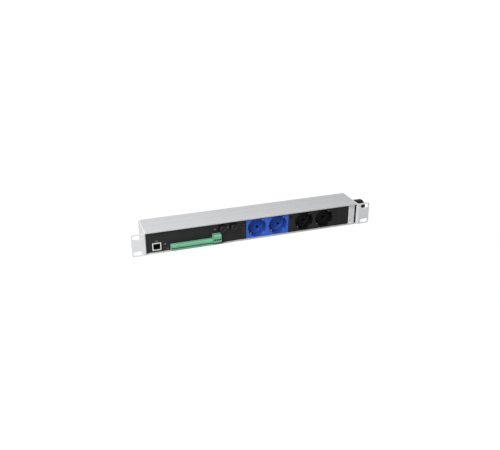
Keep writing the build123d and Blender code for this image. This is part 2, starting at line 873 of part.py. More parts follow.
def power_supply():
    """The potted supply that feeds the control boards."""
    body = slab((large_plug_left() + supply_left_inset, panel_right - supply_inset),
                (port_front_y + port_outer_radius + supply_front_gap,
                 profile_depth - profile_wall - supply_back_gap),
                (power_board_top + seat_gap, power_board_top + supply_height))
    return fillet(body.edges().filter_by(Axis.Z), supply_corner_radius)


def relays():
    """Two relays that switch the socket blocks."""
    x = large_plug_left() + relay_inset
    y = board_front_y + relay_setback
    relay = slab((x, x + relay_width), (y, y + relay_depth),
                 (power_board_top + seat_gap, power_board_top + relay_height))
    relay = fillet(relay.edges().filter_by(Axis.Z), relay_corner_radius)
    return Compound(children=[relay, Pos(relay_width + relay_gap, 0, 0) * relay])


def board_terminal_right():
    """The X of the board terminal's wire side."""
    return panel_right - board_terminal_inset


def board_terminal_ways():
    """The Y of each way of the board terminal: line, earth, neutral."""
    last = wire_back_y - board_terminal_back_gap
    return [last - 2 * board_terminal_pitch, last - board_terminal_pitch, last]


def board_terminal():
    """The three-way terminal on the power board where its supply wires end."""
    ways = board_terminal_ways()
    right = board_terminal_right()
    low = power_board_top + seat_gap
    block = slab((right - board_terminal_width, right),
                 (ways[0] - board_terminal_pitch / 2, ways[-1] + board_terminal_pitch / 2),
                 (low, low + board_terminal_height))
    for y in ways:
        block -= rod_x(y, board_wire_z, right - wire_insert - wire_way_gap, right + 1,
                       wire_radius + wire_way_gap)
        screw_well = Cylinder(terminal_screw_radius, 2 * terminal_screw_depth)
        block -= Pos(right - terminal_screw_inset, y, low + board_terminal_height) * screw_well
    return block


def indicator_filler(x):
    """A narrow blank with a raised ring around its hole for an indicator."""
    filler = pan(indicator_width, x)
    bezel = rod_y(x, indicator_rise, face_y - bezel_height, face_y + edge_round, bezel_radius)
    filler += fillet(bezel.edges().group_by(Axis.Y)[0], bezel_round)
    return filler - rod_y(x, indicator_rise, face_y - 1, face_y + face_thickness + 1,
                          lens_radius + lens_gap)


def indicator_lens(x):
    """A domed indicator pushed into its hole from behind, with a flange at the back."""
    back = face_y + face_thickness
    front = face_y - bezel_height + lens_sink
    body = rod_y(x, indicator_rise, front, face_y + lens_length, lens_radius)
    body = fillet(body.edges().group_by(Axis.Y)[0], lens_dome)
    return body + rod_y(x, indicator_rise, back + lens_gap, back + lens_gap + lens_flange_thickness,
                        lens_flange_radius)


def socket_centres(block_x):
    """The X of the two socket axes in one block."""
    return [block_x - socket_pitch / 2, block_x + socket_pitch / 2]


def socket_block(block_x):
    """The moulded twin socket: two cups in a snap-in box, turned so the clips use the corners."""
    half = block_width / 2 - module_gap
    top = inner_half - module_clearance
    back = face_y + block_skirt_depth
    body = slab((block_x - half, block_x + half), (face_y, back), (-top, top))
    body = fillet(body.edges().group_by(Axis.Y)[0], edge_round)
    body -= slab((block_x - half + block_wall, block_x + half - block_wall),
                 (face_y + face_thickness, back + 1), (block_top_wall - top, top - block_top_wall))
    limit = slab((block_x - half, block_x + half), (face_y, back), (-top, top))
    for x in socket_centres(block_x):
        cup = cone_y(x, 0, face_y + cup_setback, floor_y + floor_thickness,
                     recess_radius + cup_wall, recess_floor_radius + cup_wall)
        body += cup & limit
    for x in socket_centres(block_x):
        recess = cone_y(x, 0, face_y, floor_y, recess_radius, recess_floor_radius)
        recess += rod_y(x, 0, face_y - 1, face_y + 0.01, recess_radius)
        lead = cone_y(x, 0, face_y - 0.01, face_y + recess_lead, recess_radius + recess_lead,
                      recess_radius)
        for turn in (socket_turn + 90, socket_turn - 90):
            rib = slab((recess_radius - guide_rib_height, recess_radius + 1),
                       (face_y + guide_rib_drop, floor_y + 0.1),
                       (-guide_rib_width / 2, guide_rib_width / 2))
            recess -= Pos(x, 0, 0) * Rot(0, -turn, 0) * rib
        body -= recess + lead
        for turn in (socket_turn, socket_turn + 180):
            slot = slab((clip_slot_inner_radius, clip_slot_radius),
                        (face_y + clip_slot_front, floor_y + floor_thickness + 1),
                        (-clip_slot_width / 2, clip_slot_width / 2))
            body -= Pos(x, 0, 0) * Rot(0, -turn, 0) * slot
        for sign in (1, -1):
            pin_x = x - sign * pin_offset
            pin_z = sign * pin_offset
            body -= rod_y(pin_x, pin_z, floor_y - 1, floor_y + floor_thickness + 1,
                          pin_hole_radius)
            body -= cone_y(pin_x, pin_z, floor_y - 0.01, floor_y + pin_hole_lead,
                           pin_hole_radius + pin_hole_lead, pin_hole_radius)
    return body + snap_ridges(block_x, half, top)


def earth_bar(block_x):
    """The copper stamping behind the cups, with sprung arms that enter both sides of each."""
    y = (strap_y, strap_y + earth_thickness)
    bar = slab((block_x - socket_pitch / 2, block_x + socket_pitch / 2), y,
               (-earth_link_width / 2, earth_link_width / 2))
    for x in socket_centres(block_x):
        strap = slab((-earth_arm_radius, earth_arm_radius), y,
                     (-earth_strap_width / 2, earth_strap_width / 2))
        for side in (1, -1):
            across = (earth_arm_spread + earth_arm_width) / 2
            foot = slab(sorted((side * (earth_arm_radius - earth_foot_length),
                                side * earth_arm_radius)), y, (-across, across))
            strap += foot
            nose_y = face_y + earth_nose_depth
            tip_y = face_y + earth_tip_depth
            shoulder_y = nose_y + earth_arm_shoulder
            tip_radius = earth_arm_radius - earth_tip_lean
            outline = [(earth_arm_radius, y[1]), (earth_arm_radius, shoulder_y),
                       (earth_nose_radius + earth_thickness, nose_y), (tip_radius, tip_y),
                       (tip_radius - earth_thickness, tip_y), (earth_nose_radius, nose_y),
                       (earth_arm_radius - earth_thickness, shoulder_y),
                       (earth_arm_radius - earth_thickness, y[1])]
            face = Polygon(*[(side * radius, depth) for radius, depth in outline], align=None)
            for centre in (earth_arm_spread / 2, -earth_arm_spread / 2):
                strap += Pos(0, 0, centre) * extrude(face, earth_arm_width / 2, both=True)
        bar += Pos(x, 0, 0) * Rot(0, -socket_turn, 0) * strap
    bar += slab((block_x - contact_tab_width / 2, block_x + contact_tab_width / 2),
                (y[1] - 0.1, tab_end_y), (-tab_thickness / 2, tab_thickness / 2))
    return bar


def contact_bar(block_x, sign):
    """A brass strip with a split sleeve for one pin of each socket, and a tab for its wire."""
    z = sign * pin_offset
    xs = [x - sign * pin_offset for x in socket_centres(block_x)]
    y = (sleeve_end_y, sleeve_end_y + contact_bar_thickness)
    bar = slab((xs[0] - contact_bar_overhang, xs[1] + contact_bar_overhang), y,
               (z - contact_bar_width / 2, z + contact_bar_width / 2))
    for x in xs:
        bar += rod_y(x, z, base_y, sleeve_end_y + 0.1, sleeve_outer_radius)
    for x in xs:
        bar -= rod_y(x, z, base_y - 1, sleeve_end_y + contact_bar_thickness + 1,
                     sleeve_bore_radius)
        bar -= slab((x - sleeve_slit / 2, x + sleeve_slit / 2),
                    (base_y - 1, sleeve_end_y - sleeve_root),
                    (z - sleeve_outer_radius - 1, z + sleeve_outer_radius + 1))
    middle = sum(xs) / 2
    bar += slab((middle - contact_tab_width / 2, middle + contact_tab_width / 2),
                (y[0], tab_end_y), (z - tab_thickness / 2, z + tab_thickness / 2))
    return bar


def contact_bars():
    """The line and neutral bars of both blocks."""
    return Compound(children=[contact_bar(x, sign) for x in (blue_x, black_x) for sign in (1, -1)])


def socket_base(block_x):
    """The box behind the cups that holds the contact bars, open towards the front."""
    half = block_width / 2 - block_wall - base_side_gap
    back = sleeve_end_y + contact_bar_thickness + fit_gap
    outer = slab((block_x - half, block_x + half), (base_y, back + base_wall),
                 (-base_height / 2, base_height / 2))
    outer = fillet(outer.edges().group_by(Axis.Y)[-1], base_corner_radius)
    outer -= slab((block_x - half + base_wall, block_x + half - base_wall), (base_y - 1, back),
                  (-base_height / 2 + base_wall, base_height / 2 - base_wall))
    for way in (1, 0, -1):
        middle = block_x - way * pin_offset
        slot = contact_tab_width / 2 + base_clearance
        slit = tab_thickness / 2 + base_clearance
        outer -= slab((middle - slot, middle + slot), (back - 1, back + base_wall + 1),
                      (way * pin_offset - slit, way * pin_offset + slit))
    return outer


def end_cover():
    """The light cover at the right end of the row."""
    return pan(cover_width, cover_x, cover_edge_round)


def cover_label():
    """A bare sheet stuck on the end cover."""
    sheet = slab((cover_x - cover_label_width / 2, cover_x + cover_label_width / 2),
                 (face_y - cover_label_thickness, face_y),
                 (-cover_label_height / 2, cover_label_height / 2))
    return fillet(sheet.edges().filter_by(Axis.Y), cover_label_corner_radius)


def gland_body():
    """The gland's body: a hexagon outside the plate, a thread through it and a neck."""
    plate = right_end + plate_thickness + gland_gasket_thickness
    body = hexagon_x(gland_y, 0, plate, plate + gland_flange_length, gland_flats)
    body &= rod_x(gland_y, 0, plate, plate + gland_flange_length,
                  gland_flats / sqrt(3) - gland_corner_cut)
    neck_end = plate + gland_flange_length + gland_neck_length
    body += rod_x(gland_y, 0, right_end - gland_inner_length, plate + 0.1, gland_thread_radius)
    body += rod_x(gland_y, 0, plate + 0.1, neck_end, gland_neck_radius)
    body -= rod_x(gland_y, 0, right_end - gland_inner_length - 1, neck_end + 1, gland_bore_radius)
    body -= rod_x(gland_y, 0, neck_end - gland_seal_depth, neck_end + 1,
                  gland_seal_outer + gland_gap)
    return body


def gland_seal():
    """The rubber ring that the nut squeezes on to the cable."""
    neck_end = right_end + plate_thickness + gland_gasket_thickness + (
        gland_flange_length + gland_neck_length)
    start = neck_end - gland_seal_depth + gland_gap
    ring = rod_x(gland_y, 0, start, start + gland_seal_length, gland_seal_outer)
    return ring - rod_x(gland_y, 0, start - 1, start + gland_seal_length + 1, gland_seal_radius)


def gland_nut():
    """The domed nut: six flats at its foot and a rounded end with the mouth."""
    foot = right_end + plate_thickness + gland_gasket_thickness + gland_flange_length + gland_gap
    end = foot + gland_nut_length
    outline = [(foot, 0), (foot, gland_nut_radius), (end - gland_nut_dome, gland_nut_radius)]
    side = Polyline(*outline)
    dome = ThreePointArc(
        (end - gland_nut_dome, gland_nut_radius),
        (end - gland_nut_dome * (1 - sin(radians(gland_dome_turn))),
         gland_mouth_radius
         + (gland_nut_radius - gland_mouth_radius) * cos(radians(gland_dome_turn))),
        (end, gland_mouth_radius))
    close = Polyline((end, gland_mouth_radius), (end, 0), (foot, 0))
    face = make_face(side + dome + close)
    nut = revolve(face, Axis.X)
    nut = Pos(0, gland_y, 0) * nut
    nut -= rod_x(gland_y, 0, foot - 1, foot + gland_neck_length + gland_nut_end_gap,
                 gland_neck_radius + gland_gap)
    seal_end = foot + gland_neck_length + gland_seal_length - gland_seal_depth + gland_gap
    nut -= rod_x(gland_y, 0, foot, seal_end + gland_gap, gland_seal_outer + gland_gap)
    nut -= rod_x(gland_y, 0, foot - 1, end + 1, gland_mouth_radius)
    for i in range(6):
        flat = slab((foot - 1, end - gland_nut_dome),
                    (gland_nut_radius - gland_nut_flat_depth, gland_nut_radius + 1),
                    (-gland_nut_radius, gland_nut_radius))
        nut -= Pos(0, gland_y, 0) * Rot(60 * i + 30, 0, 0) * flat
    return nut


def gland_locknut():
    """The slim notched ring that holds the gland inside the end plate."""
    start = right_end - gland_gap - gland_locknut_thickness
    ring = rod_x(gland_y, 0, start, right_end - gland_gap, gland_locknut_radius)
    notch = slab((start - 1, right_end + 1),
                 (gland_locknut_radius - gland_notch_depth, gland_locknut_radius + 1),
                 (-gland_notch_width / 2, gland_notch_width / 2))
    for i in range(6):
        ring -= Pos(0, gland_y, 0) * Rot(60 * i, 0, 0) * notch
    return ring - rod_x(gland_y, 0, start - 1, right_end + 1, gland_thread_radius + gland_thread_gap)


def gland_gasket():
    """The flat seal between the gland and the end plate."""
    start = right_end + plate_thickness
    ring = rod_x(gland_y, 0, start, start + gland_gasket_thickness, gland_gasket_radius)
    return ring - rod_x(gland_y, 0, start - 1, start + gland_gasket_thickness + 1,
                        gland_thread_radius + gland_thread_gap)


def mains_terminal():
    """The three-way terminal block on the channel's back wall, where the supply comes in."""
    back = profile_depth - profile_wall - mains_seat
    block = slab((mains_x, mains_x + mains_length), (back - mains_depth, back),
                 (-mains_height / 2, mains_height / 2))
    for way in (-1, 0, 1):
        z = way * mains_height / 3
        block -= rod_x(back - mains_depth / 2, z, mains_x - 1, mains_x + wire_insert + wire_way_gap,
                       wire_radius + wire_way_gap)
        block -= rod_x(back - mains_depth / 2, z, mains_x + mains_length - mains_cable_way,
                       mains_x + mains_length + 1, wire_radius + mains_cable_gap)
        for screw_x in (mains_x + terminal_screw_inset,
                        mains_x + mains_length - terminal_screw_inset):
            block -= rod_y(screw_x, z, back - mains_depth - 1,
                           back - mains_depth + terminal_screw_depth, terminal_screw_radius)
    return block


def wire_run(points):
    """An insulated wire along straight runs joined by arcs."""
    path = FilletPolyline(*points, radius=wire_bend)
    start = Plane(origin=points[0], z_dir=path % 0)
    return sweep(start * Circle(wire_radius), path=path)


def supply_wires(way):
    """One conductor, 1 line, 0 earth, -1 neutral: from the mains terminal to each user."""
    tab_y = tab_end_y + seat_gap
    aside = wire_radius + wire_tab_gap
    mains_y = profile_depth - profile_wall - mains_seat - mains_depth / 2
    mains_z = way * mains_height / 3
    z = way * pin_offset
    black_tab = black_x - way * pin_offset
    blue_tab = blue_x - way * pin_offset
    back = wire_back_y
    first = wire_run([(black_tab + aside, tab_y, z), (black_tab + aside, back, z),
                      (mains_x - 2 * wire_drop, back, z), (mains_x - wire_drop, mains_y, mains_z),
                      (mains_x + wire_insert, mains_y, mains_z)])
    second = wire_run([(blue_tab + aside, tab_y, z), (blue_tab + aside, back, z),
                       (black_tab - aside, back, z), (black_tab - aside, tab_y, z)])
    end_x = board_terminal_right()
    end_y = board_terminal_ways()[1 - way]
    third = wire_run([(blue_tab - aside, tab_y, z), (blue_tab - aside, back, z),
                      (end_x + wire_rise, back, z), (end_x + wire_drop, end_y, board_wire_z),
                      (end_x - wire_insert, end_y, board_wire_z)])
    return Compound(children=[first, second, third])


def build():
    """Every node of the part, by name."""
    nodes = {
        "housing_profile": housing_profile(),
        "end_plate_left": end_plate(-1),
        "end_plate_right": end_plate(1),
        "end_screws": end_screws(),
        "control_panel": control_panel(),
        "io_board": io_board(),
        "power_board": power_board(),
        "board_spacers": board_spacers(),
        "network_port_shell": jack_shell_piece(),
        "network_port_insert": jack_insert(),
        "network_port_contacts": jack_contacts(),
        "terminal_headers": Compound(children=[terminal_header(p) for p in plug_places()]),
        "header_pins": header_pins(),
        "fuse_nuts": fuse_nuts(),
        "power_supply": power_supply(),
        "relays": relays(),
        "board_terminal": board_terminal(),
        "indicator_filler_1": indicator_filler(indicator_1_x),
        "indicator_filler_2": indicator_filler(indicator_2_x),
        "indicator_lens_1": indicator_lens(indicator_1_x),
        "indicator_lens_2": indicator_lens(indicator_2_x),
        "socket_block_blue": socket_block(blue_x),
        "socket_block_black": socket_block(black_x),
        "socket_base_blue": socket_base(blue_x),
        "socket_base_black": socket_base(black_x),
        "earth_bar_blue": earth_bar(blue_x),
        "earth_bar_black": earth_bar(black_x),
        "contact_bars": contact_bars(),
        "spacer_blank": pan(spacer_width, spacer_x),
        "wide_blank": pan(blank_width, blank_x),
        "end_cover": end_cover(),
        "end_cover_label": cover_label(),
        "end_strip": pan(strip_width, strip_x),
        "gland_body": gland_body(),
        "gland_seal": gland_seal(),
        "gland_nut": gland_nut(),
        "gland_locknut": gland_locknut(),
        "gland_gasket": gland_gasket(),
        "mains_terminal": mains_terminal(),
        "line_wires": supply_wires(1),
        "earth_wires": supply_wires(0),
        "neutral_wires": supply_wires(-1),
    }
    for number, plug in enumerate(plug_places(), start=1):
        nodes[f"terminal_plug_{number}"] = terminal_plug(plug)
        nodes[f"plug_screws_{number}"] = plug_screws(plug)
    for number, x in enumerate(fuse_places(), start=1):
        nodes[f"fuse_holder_{number}"] = fuse_holder(x)
        nodes[f"fuse_cap_{number}"] = fuse_cap(x, fuse_slot_turns[number - 1])
        nodes[f"fuse_link_{number}"] = fuse_link(x)
    return nodes


os.makedirs("parts", exist_ok=True)
for name, shape in build().items():
    export_step(shape, f"parts/{name}.step")
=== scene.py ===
"""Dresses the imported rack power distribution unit.

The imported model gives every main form. This script gives each piece its finish, recasts the turned
and moulded ones with smooth, merged surfaces, and adds the small repeated things: clamp screws,
wire clamps, contact pads and printed marks. It also sets the floor, the light and the camera.
"""

import logging
import math
from collections.abc import Callable, Iterable, Sequence
from dataclasses import dataclass, field, replace
from enum import Enum

import bmesh
import bpy
from mathutils import Matrix, Vector

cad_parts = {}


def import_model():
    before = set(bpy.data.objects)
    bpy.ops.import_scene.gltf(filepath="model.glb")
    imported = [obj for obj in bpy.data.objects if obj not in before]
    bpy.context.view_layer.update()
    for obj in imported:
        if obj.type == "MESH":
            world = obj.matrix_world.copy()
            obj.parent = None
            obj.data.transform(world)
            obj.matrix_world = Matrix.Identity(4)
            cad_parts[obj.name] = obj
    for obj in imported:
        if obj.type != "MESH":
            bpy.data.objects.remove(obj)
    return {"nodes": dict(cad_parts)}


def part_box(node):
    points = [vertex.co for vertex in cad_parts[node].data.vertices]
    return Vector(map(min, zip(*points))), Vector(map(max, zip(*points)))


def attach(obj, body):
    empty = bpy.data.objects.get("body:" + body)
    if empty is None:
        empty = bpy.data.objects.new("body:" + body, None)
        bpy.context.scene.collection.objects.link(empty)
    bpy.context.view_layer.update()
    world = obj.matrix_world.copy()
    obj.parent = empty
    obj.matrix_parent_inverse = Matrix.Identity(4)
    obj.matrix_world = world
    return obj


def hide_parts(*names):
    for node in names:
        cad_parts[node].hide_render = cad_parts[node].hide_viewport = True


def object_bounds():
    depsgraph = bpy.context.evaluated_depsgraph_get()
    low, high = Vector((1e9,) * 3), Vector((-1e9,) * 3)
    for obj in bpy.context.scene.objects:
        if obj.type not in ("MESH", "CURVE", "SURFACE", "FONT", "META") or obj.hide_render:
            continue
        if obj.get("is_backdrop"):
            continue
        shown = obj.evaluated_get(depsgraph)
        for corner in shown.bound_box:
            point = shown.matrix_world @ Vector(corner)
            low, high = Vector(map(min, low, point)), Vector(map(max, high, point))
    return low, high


log = logging.getLogger("rack_unit")
MM = 0.001
MERGE_GAP = 2e-6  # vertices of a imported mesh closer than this, in metres, become one
SPECK = 1e-7  # edges shorter than this, in metres, are dissolved
NEARLY = 0.05  # how far a direction, or a depth in millimetres, may be off and still count
Colour = tuple[float, float, float]
Triple = tuple[float, float, float]
Chooser = Callable[[Vector, Vector], bool]
Socket = bpy.types.NodeSocket
Relief = list[tuple[Socket, float]]  # textures and their depths in metres


def put(node: bpy.types.Node, **values: object) -> None:
    """Sets inputs of a node by name, with underscores for spaces."""
    for key, value in values.items():
        node.inputs[key.replace("_", " ")].default_value = value


class EarthClip(Enum):
    """Where a pair of earth arms stands in its socket: the angle in degrees from its right."""

    UPPER_RIGHT = 45.0
    LOWER_LEFT = 225.0


class ShaderGraph:
    """The node tree of one material, with short calls for what the finishes share."""

    def __init__(self, name: str) -> None:
        """Starts a material with its principled shader.

        Args:
            name: The material's name.
        """
        self.material = bpy.data.materials.new(name)
        self.material.use_nodes = True
        self.tree = self.material.node_tree
        self.shader = self.tree.nodes["Principled BSDF"]

    def add(self, kind: str, **settings: object) -> bpy.types.Node:
        """Adds a node.

        Args:
            kind: Blender's type name of the node.
            settings: Attributes to set on it.

        Returns:
            The new node.
        """
        node = self.tree.nodes.new(kind)
        for key, value in settings.items():
            setattr(node, key, value)
        return node

    def link(self, source: Socket, target: Socket) -> None:
        """Joins two sockets."""
        self.tree.links.new(source, target)

    def coordinates(self, scale: Triple) -> Socket:
        """Object coordinates in metres, multiplied by a scale.

        Args:
            scale: The factor along each axis.

        Returns:
            The socket that holds the coordinates.
        """
        source = self.add("ShaderNodeTexCoord")
        mapping = self.add("ShaderNodeMapping")
        put(mapping, Scale=scale)
        self.link(source.outputs["Object"], mapping.inputs["Vector"])
        return mapping.outputs["Vector"]

    def noise(self, scale: Triple, detail: float = 3.0, rough: float = 0.5) -> Socket:
        """A noise on object coordinates.

        Args:
            scale: Cells a metre along each axis.
            detail: The octaves.
            rough: The strength of the finer octaves.

        Returns:
            The socket of its value, from 0 to 1.
        """
        node = self.add("ShaderNodeTexNoise")
        put(node, Scale=1.0, Detail=detail, Roughness=rough)
        self.link(self.coordinates(scale), node.inputs["Vector"])
        return node.outputs["Fac"]

    def pits(self, scale: Triple) -> Socket:
        """The cell distances of a spark-eroded grain.

        Args:
            scale: Cells a metre along each axis.

        Returns:
            The socket of the distance.
        """
        node = self.add("ShaderNodeTexVoronoi")
        put(node, Scale=1.0)
        self.link(self.coordinates(scale), node.inputs["Vector"])
        return node.outputs["Distance"]

    def ranged(self, value: Socket, low: float, high: float) -> Socket:
        """Maps 0.25 to 0.75 of a texture to a range.

        Args:
            value: The texture's socket.
            low: The result at the low end.
            high: The result at the high end.

        Returns:
            The socket of the mapped value.
        """
        node = self.add("ShaderNodeMapRange")
        put(node, From_Min=0.25, From_Max=0.75, To_Min=low, To_Max=high)
        self.link(value, node.inputs["Value"])
        return node.outputs["Result"]

    def blended(self, factor: Socket, first: Colour, second: Colour) -> Socket:
        """Mixes two colours by a texture.

        Args:
            factor: The texture's socket.
            first: The colour at 0.
            second: The colour at 1.

        Returns:
            The socket of the colour.
        """
        node = self.add("ShaderNodeMix", data_type="RGBA")
        colours = [s for s in node.inputs if s.type == "RGBA"]
        colours[0].default_value = (*first, 1.0)
        colours[1].default_value = (*second, 1.0)
        self.link(factor, node.inputs["Factor"])
        return next(s for s in node.outputs if s.type == "RGBA")

    def emboss(self, heights: Relief) -> None:
        """Chains bumps into the shader's normal.

        Args:
            heights: Each a texture's socket and its depth in metres.
        """
        normal = None
        for height, depth in heights:
            bump = self.add("ShaderNodeBump")
            put(bump, Strength=1.0, Distance=depth)
            self.link(height, bump.inputs["Height"])
            if normal is not None:
                self.link(normal, bump.inputs["Normal"])
            normal = bump.outputs["Normal"]
        if normal is not None:
            self.link(normal, self.shader.inputs["Normal"])


@dataclass(frozen=True)
class Finish:
    """A surface finish: its colour, gloss and grain.

    Attributes:
        name: The material's name.
        colour: Its linear colour.
        metallic: 1 on bare metal.
        rough: The mean roughness.
        rough_spread: How far roughness varies each way.
        tone_spread: How far the colour varies each way, as a share of it.
        grain: Cells a metre of the fine grain along each axis.
        grain_depth: The grain's depth in metres.
        cloud: Cells a metre of the broad variation.
        coat: The strength of a clear coat.
        coat_rough: Its roughness.
        specular: The specular level, 0.5 on common plastic.
    """

    name: str
    colour: Colour
    metallic: float = 0.0
    rough: float = 0.5
    rough_spread: float = 0.06
    tone_spread: float = 0.05
    grain: Triple = (2200.0, 2200.0, 2200.0)
    grain_depth: float = 1.2e-5
    cloud: float = 45.0
    coat: float = 0.0
    coat_rough: float = 0.12
    specular: float = 0.5

    def shades(self) -> tuple[Colour, Colour]:
        """The darkest and lightest colour of the finish."""
        low = tuple(c * (1 - self.tone_spread) for c in self.colour)
        high = tuple(min(1.0, c * (1 + self.tone_spread)) for c in self.colour)
        return low, high

    def heights(self, graph: ShaderGraph) -> Relief:
        """The textures that emboss the surface.

        Args:
            graph: The material's graph.

        Returns:
            Pairs of socket and depth.
        """
        return [(graph.noise(self.grain, detail=4.0, rough=0.6), self.grain_depth)]

    def variation(self, graph: ShaderGraph) -> Socket:
        """The texture that varies colour and gloss."""
        return graph.noise((self.cloud,) * 3, detail=5.0, rough=0.55)

    def build(self) -> bpy.types.Material:
        """Makes the material.

        Returns:
            The new material.
        """
        graph = ShaderGraph(self.name)
        shader = graph.shader
        put(shader, Metallic=self.metallic, Specular_IOR_Level=self.specular,
            Coat_Weight=self.coat, Coat_Roughness=self.coat_rough)
        varied = self.variation(graph)
        low, high = self.shades()
        graph.link(graph.blended(graph.ranged(varied, 0.0, 1.0), low, high),
                   shader.inputs["Base Color"])
        graph.link(graph.ranged(varied, self.rough + self.rough_spread,
                                self.rough - self.rough_spread), shader.inputs["Roughness"])
        graph.emboss(self.heights(graph))
        self.complete(graph)
        return graph.material

    def complete(self, graph: ShaderGraph) -> None:
        """Adds what a special finish needs; a plain one needs nothing."""


@dataclass(frozen=True)
class DrawnMetal(Finish):
    """Anodised metal with the fine straight lines of its die or roll.

    Attributes:
        lines: Cells a metre along each axis of the lines, few along them and many across.
        line_depth: The lines' depth in metres.
        band_share: The cells of the broad bands, as a share of the lines'.
    """

    lines: Triple = (3.0, 900.0, 900.0)
    line_depth: float = 6e-6
    band_share: float = 0.35

    def heights(self, graph: ShaderGraph) -> Relief:
        """The die lines over the etched grain."""
        return [(graph.noise(self.lines, detail=6.0, rough=0.7), self.line_depth),
                (graph.noise(self.grain, detail=3.0, rough=0.6), self.grain_depth)]

    def variation(self, graph: ShaderGraph) -> Socket:
        """Broad bands along the lines."""
        bands = tuple(cells * self.band_share for cells in self.lines)
        return graph.noise(bands, detail=6.0, rough=0.65)


@dataclass(frozen=True)
class MouldedPlastic(Finish):
    """Plastic from a spark-eroded mould.

    Attributes:
        pit: Cells a metre of the eroded texture.
        pit_depth: The texture's depth in metres.
        swell: Cells a metre of the soft unevenness.
        swell_share: Its depth as a multiple of the grain's.
    """

    pit: float = 2600.0
    pit_depth: float = 9e-6
    swell: float = 70.0
    swell_share: float = 6.0

    def heights(self, graph: ShaderGraph) -> Relief:
        """The eroded pits over a soft unevenness."""
        swell = graph.noise((self.swell,) * 3, detail=2.0, rough=0.4)
        return [(graph.pits((self.pit,) * 3), self.pit_depth),
                (swell, self.grain_depth * self.swell_share)]


@dataclass(frozen=True)
class ClearFinish(Finish):
    """Glass, or a tinted lens.

    Attributes:
        transmission: The share of light that passes.
        ior: The index of refraction.
    """

    transmission: float = 1.0
    ior: float = 1.5

    def complete(self, graph: ShaderGraph) -> None:
        """Lets the light through."""
        put(graph.shader, Transmission_Weight=self.transmission, IOR=self.ior)


@dataclass(frozen=True)
class CircuitBoard(Finish):
    """Solder resist over copper tracks.

    Attributes:
        track: The colour over a track.
        pitch: Cells a metre of the track pattern.
    """

    track: Colour = (0.07, 0.30, 0.13)
    pitch: float = 260.0

    def complete(self, graph: ShaderGraph) -> None:
        """Lays square tracks under the resist."""
        cells = graph.add("ShaderNodeTexVoronoi", distance="MANHATTAN", feature="F2")
        put(cells, Scale=1.0, Randomness=0.6)
        graph.link(graph.coordinates((self.pitch,) * 3), cells.inputs["Vector"])
        graph.link(graph.blended(graph.ranged(cells.outputs["Distance"], 0.0, 1.0), self.colour,
                                 self.track), graph.shader.inputs["Base Color"])


